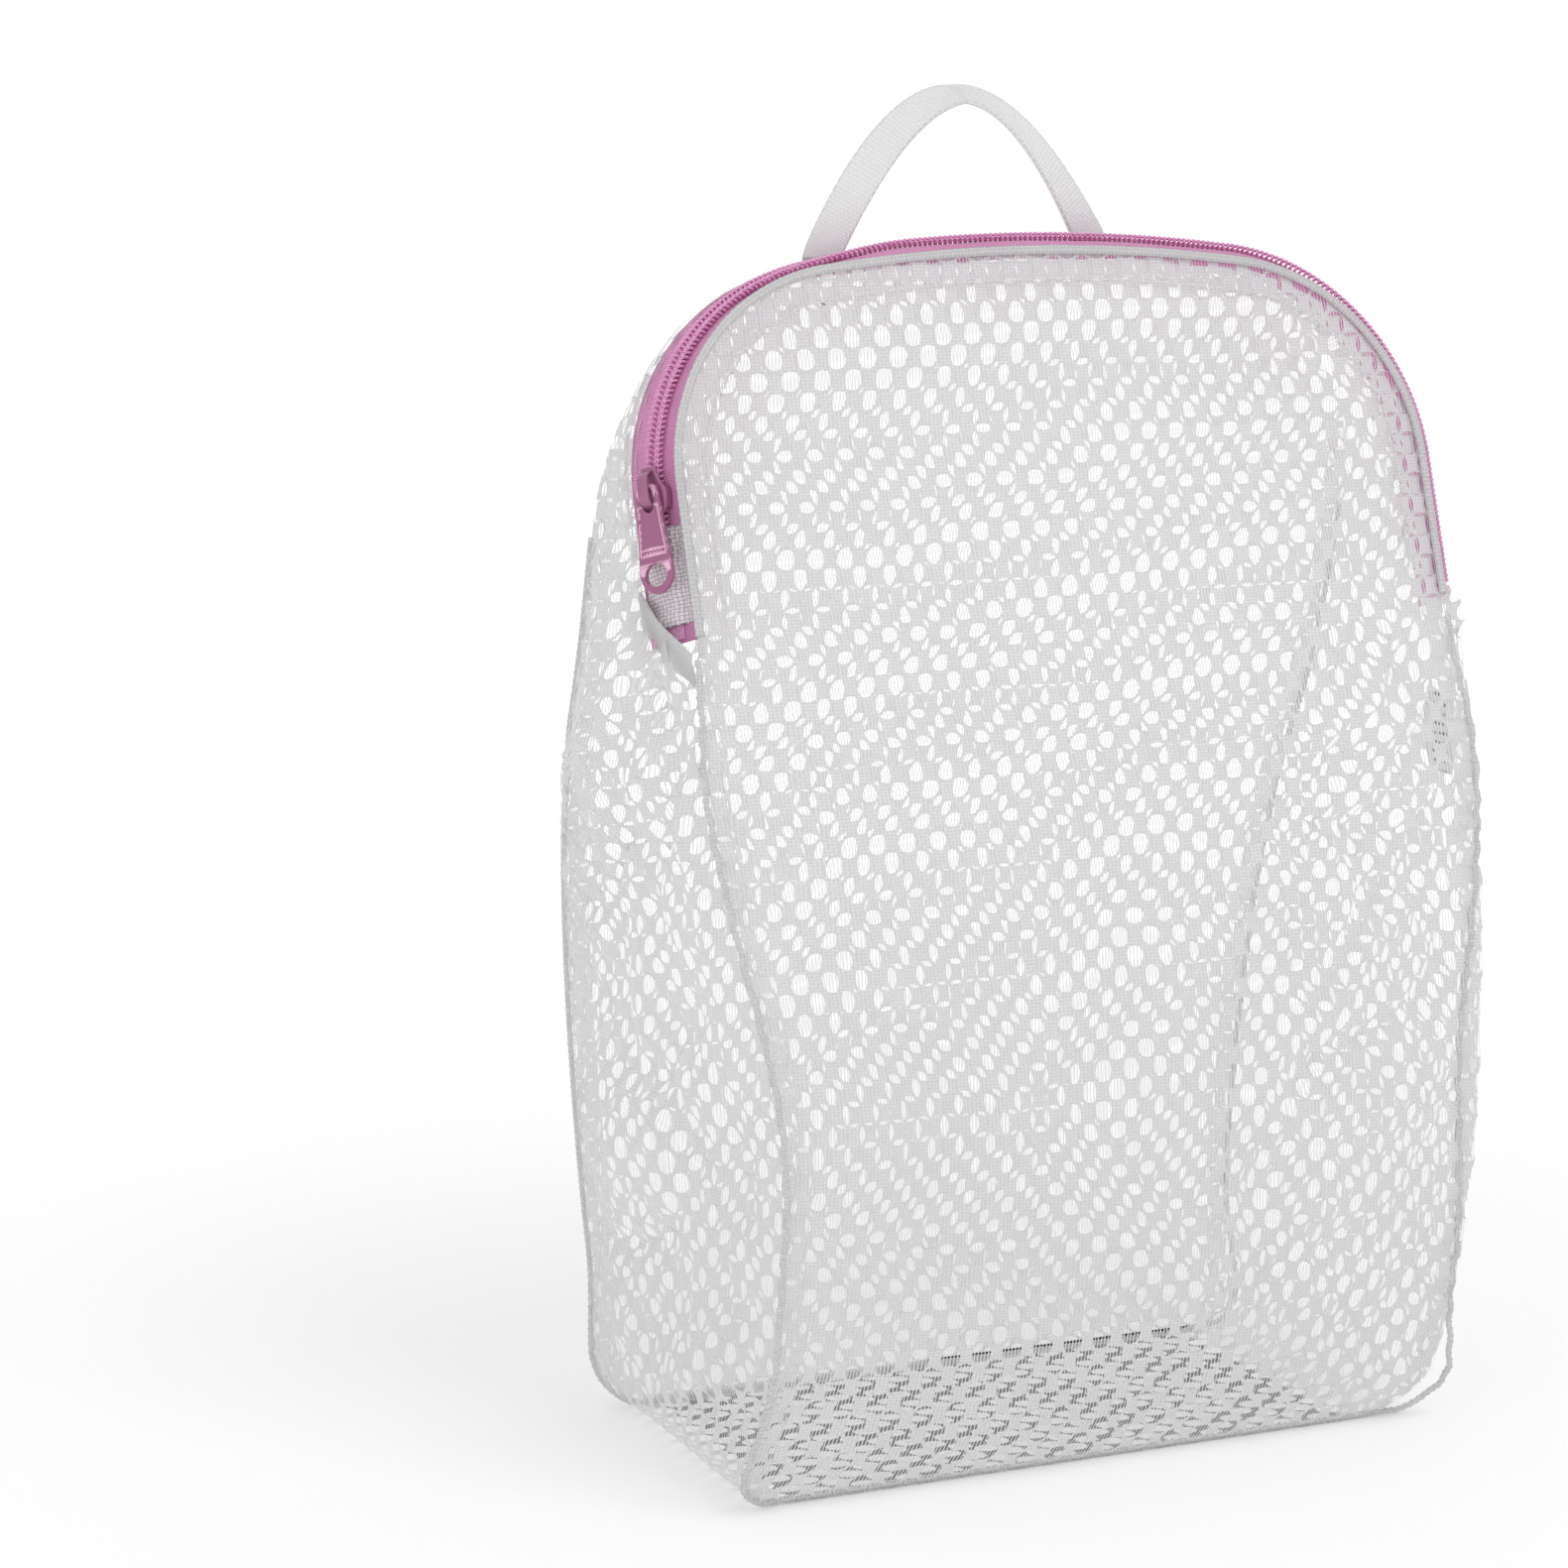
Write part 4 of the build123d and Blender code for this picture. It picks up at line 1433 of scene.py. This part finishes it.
tack_half = 0.0046
tack_back, tack_deep = 0.0093, 0.0022
tack_steps = 30
tack_lines = []
for end in (-1, 1):
    middle = handle_middle + end * handle_span
    foot = rim_foot + (crest - crown_drop(middle) + 0.0012) * rim_up
    tack_lines.append([foot + Vector((middle - tack_half + 2 * tack_half * n / tack_steps, 0, 0))
                       + (tack_back + tack_deep * (n % 2)) * rim_back
                       for n in range(tack_steps + 1)])
tacks = thread_piece("handle_stitches", tack_lines, stitch_radius, white_thread)
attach(tacks, "bag")
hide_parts("handle_tacks")

# ---- Back hem ----------------------------------------------------------------------------
# A binding of the same net, folded in two and sewn over the back edge of the zip. The handle's
# ends are caught in it.
back_hem_start = 0.02
back_hem_out = 0.0006
back_hem_wide = 0.0101
back_hem_lap = 0.0002


def back_hem_trim(along, back):
    """The nearest place on the band."""
    return (max(back_hem_start, min(rim_length - back_hem_start, along)),
            max(tape_back - back_hem_lap, min(tape_back - back_hem_lap + back_hem_wide, back)))


def on_back_hem(along, back):
    """True where a hole's middle is near the band."""
    return back_hem_start < along < rim_length - back_hem_start and 0.006 < back < 0.0198


hem_cloth = cut_net((0.0, 0.004), (rim_length, 0.021), on_back_hem, back_hem_trim)
back_hem_area = net_area(hem_cloth)
back_hem = sew_net(hem_cloth, "back_hem_band", lambda along, back: on_rim(along, back_hem_out, back))
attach(back_hem, "bag")
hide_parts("back_hem")

# ---- Care label --------------------------------------------------------------------------
# A small label of white satin ribbon, sewn into the right-hand front seam, with a few plain
# marks printed on it.
label_low, label_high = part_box("care_label")
label_wide = label_high[1] - label_low[1]
label_long = label_high[2] - label_low[2]
label_ripple = 0.0015
label_thick = 0.0003
line_rate, dot_rate = 2400, 3800
print_half = 0.32
label_satin = cloth_material("label_satin", (0.72, 0.72, 0.72), (0.84, 0.84, 0.84), across=5000,
                             up=5000, depth=0.00004, roughness=0.35)
label_tree = label_satin.node_tree
flat_label = label_tree.nodes.new("ShaderNodeUVMap")
flat_label.uv_map = "cut"
label_parts = label_tree.nodes.new("ShaderNodeSeparateXYZ")
label_tree.links.new(flat_label.outputs["UV"], label_parts.inputs[0])


def ruled(axis, rate, above):
    """Mask of even stripes along one axis of the flat label."""
    turn = math_node(label_tree, "MULTIPLY", label_parts.outputs[axis], rate)
    return math_node(label_tree, "GREATER_THAN", math_node(label_tree, "SINE", turn), above)


dashes = math_node(label_tree, "MULTIPLY", ruled("X", line_rate, 0.55), ruled("Y", dot_rate, -0.3))
off_middle = math_node(label_tree, "SUBTRACT", label_parts.outputs["Y"], label_wide / 2)
margin = math_node(label_tree, "LESS_THAN", math_node(label_tree, "ABSOLUTE", off_middle),
                   label_wide * print_half)
print_mask = math_node(label_tree, "MULTIPLY", dashes, margin)
inked = label_tree.nodes.new("ShaderNodeMix")
inked.data_type = "RGBA"
inked.inputs["B"].default_value = (0.25, 0.25, 0.27, 1)
label_look = label_tree.nodes["Principled BSDF"]
plain_satin = label_look.inputs["Base Color"].links[0].from_socket
label_tree.links.new(plain_satin, inked.inputs["A"])
label_tree.links.new(print_mask, inked.inputs["Factor"])
label_tree.links.new(inked.outputs["Result"], label_look.inputs["Base Color"])


def label_place(along, across):
    """Place of a point of the label, which ripples towards its free edge."""
    ripple = label_ripple * math.sin(along * 180) * across / label_wide
    return Vector((label_low[0] - ripple, label_low[1] + across, label_high[2] - along))


label = cloth_strip("label", label_long, label_wide, 24, 12, label_place, label_thick, label_satin)
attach(label, "bag")
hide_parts("care_label")
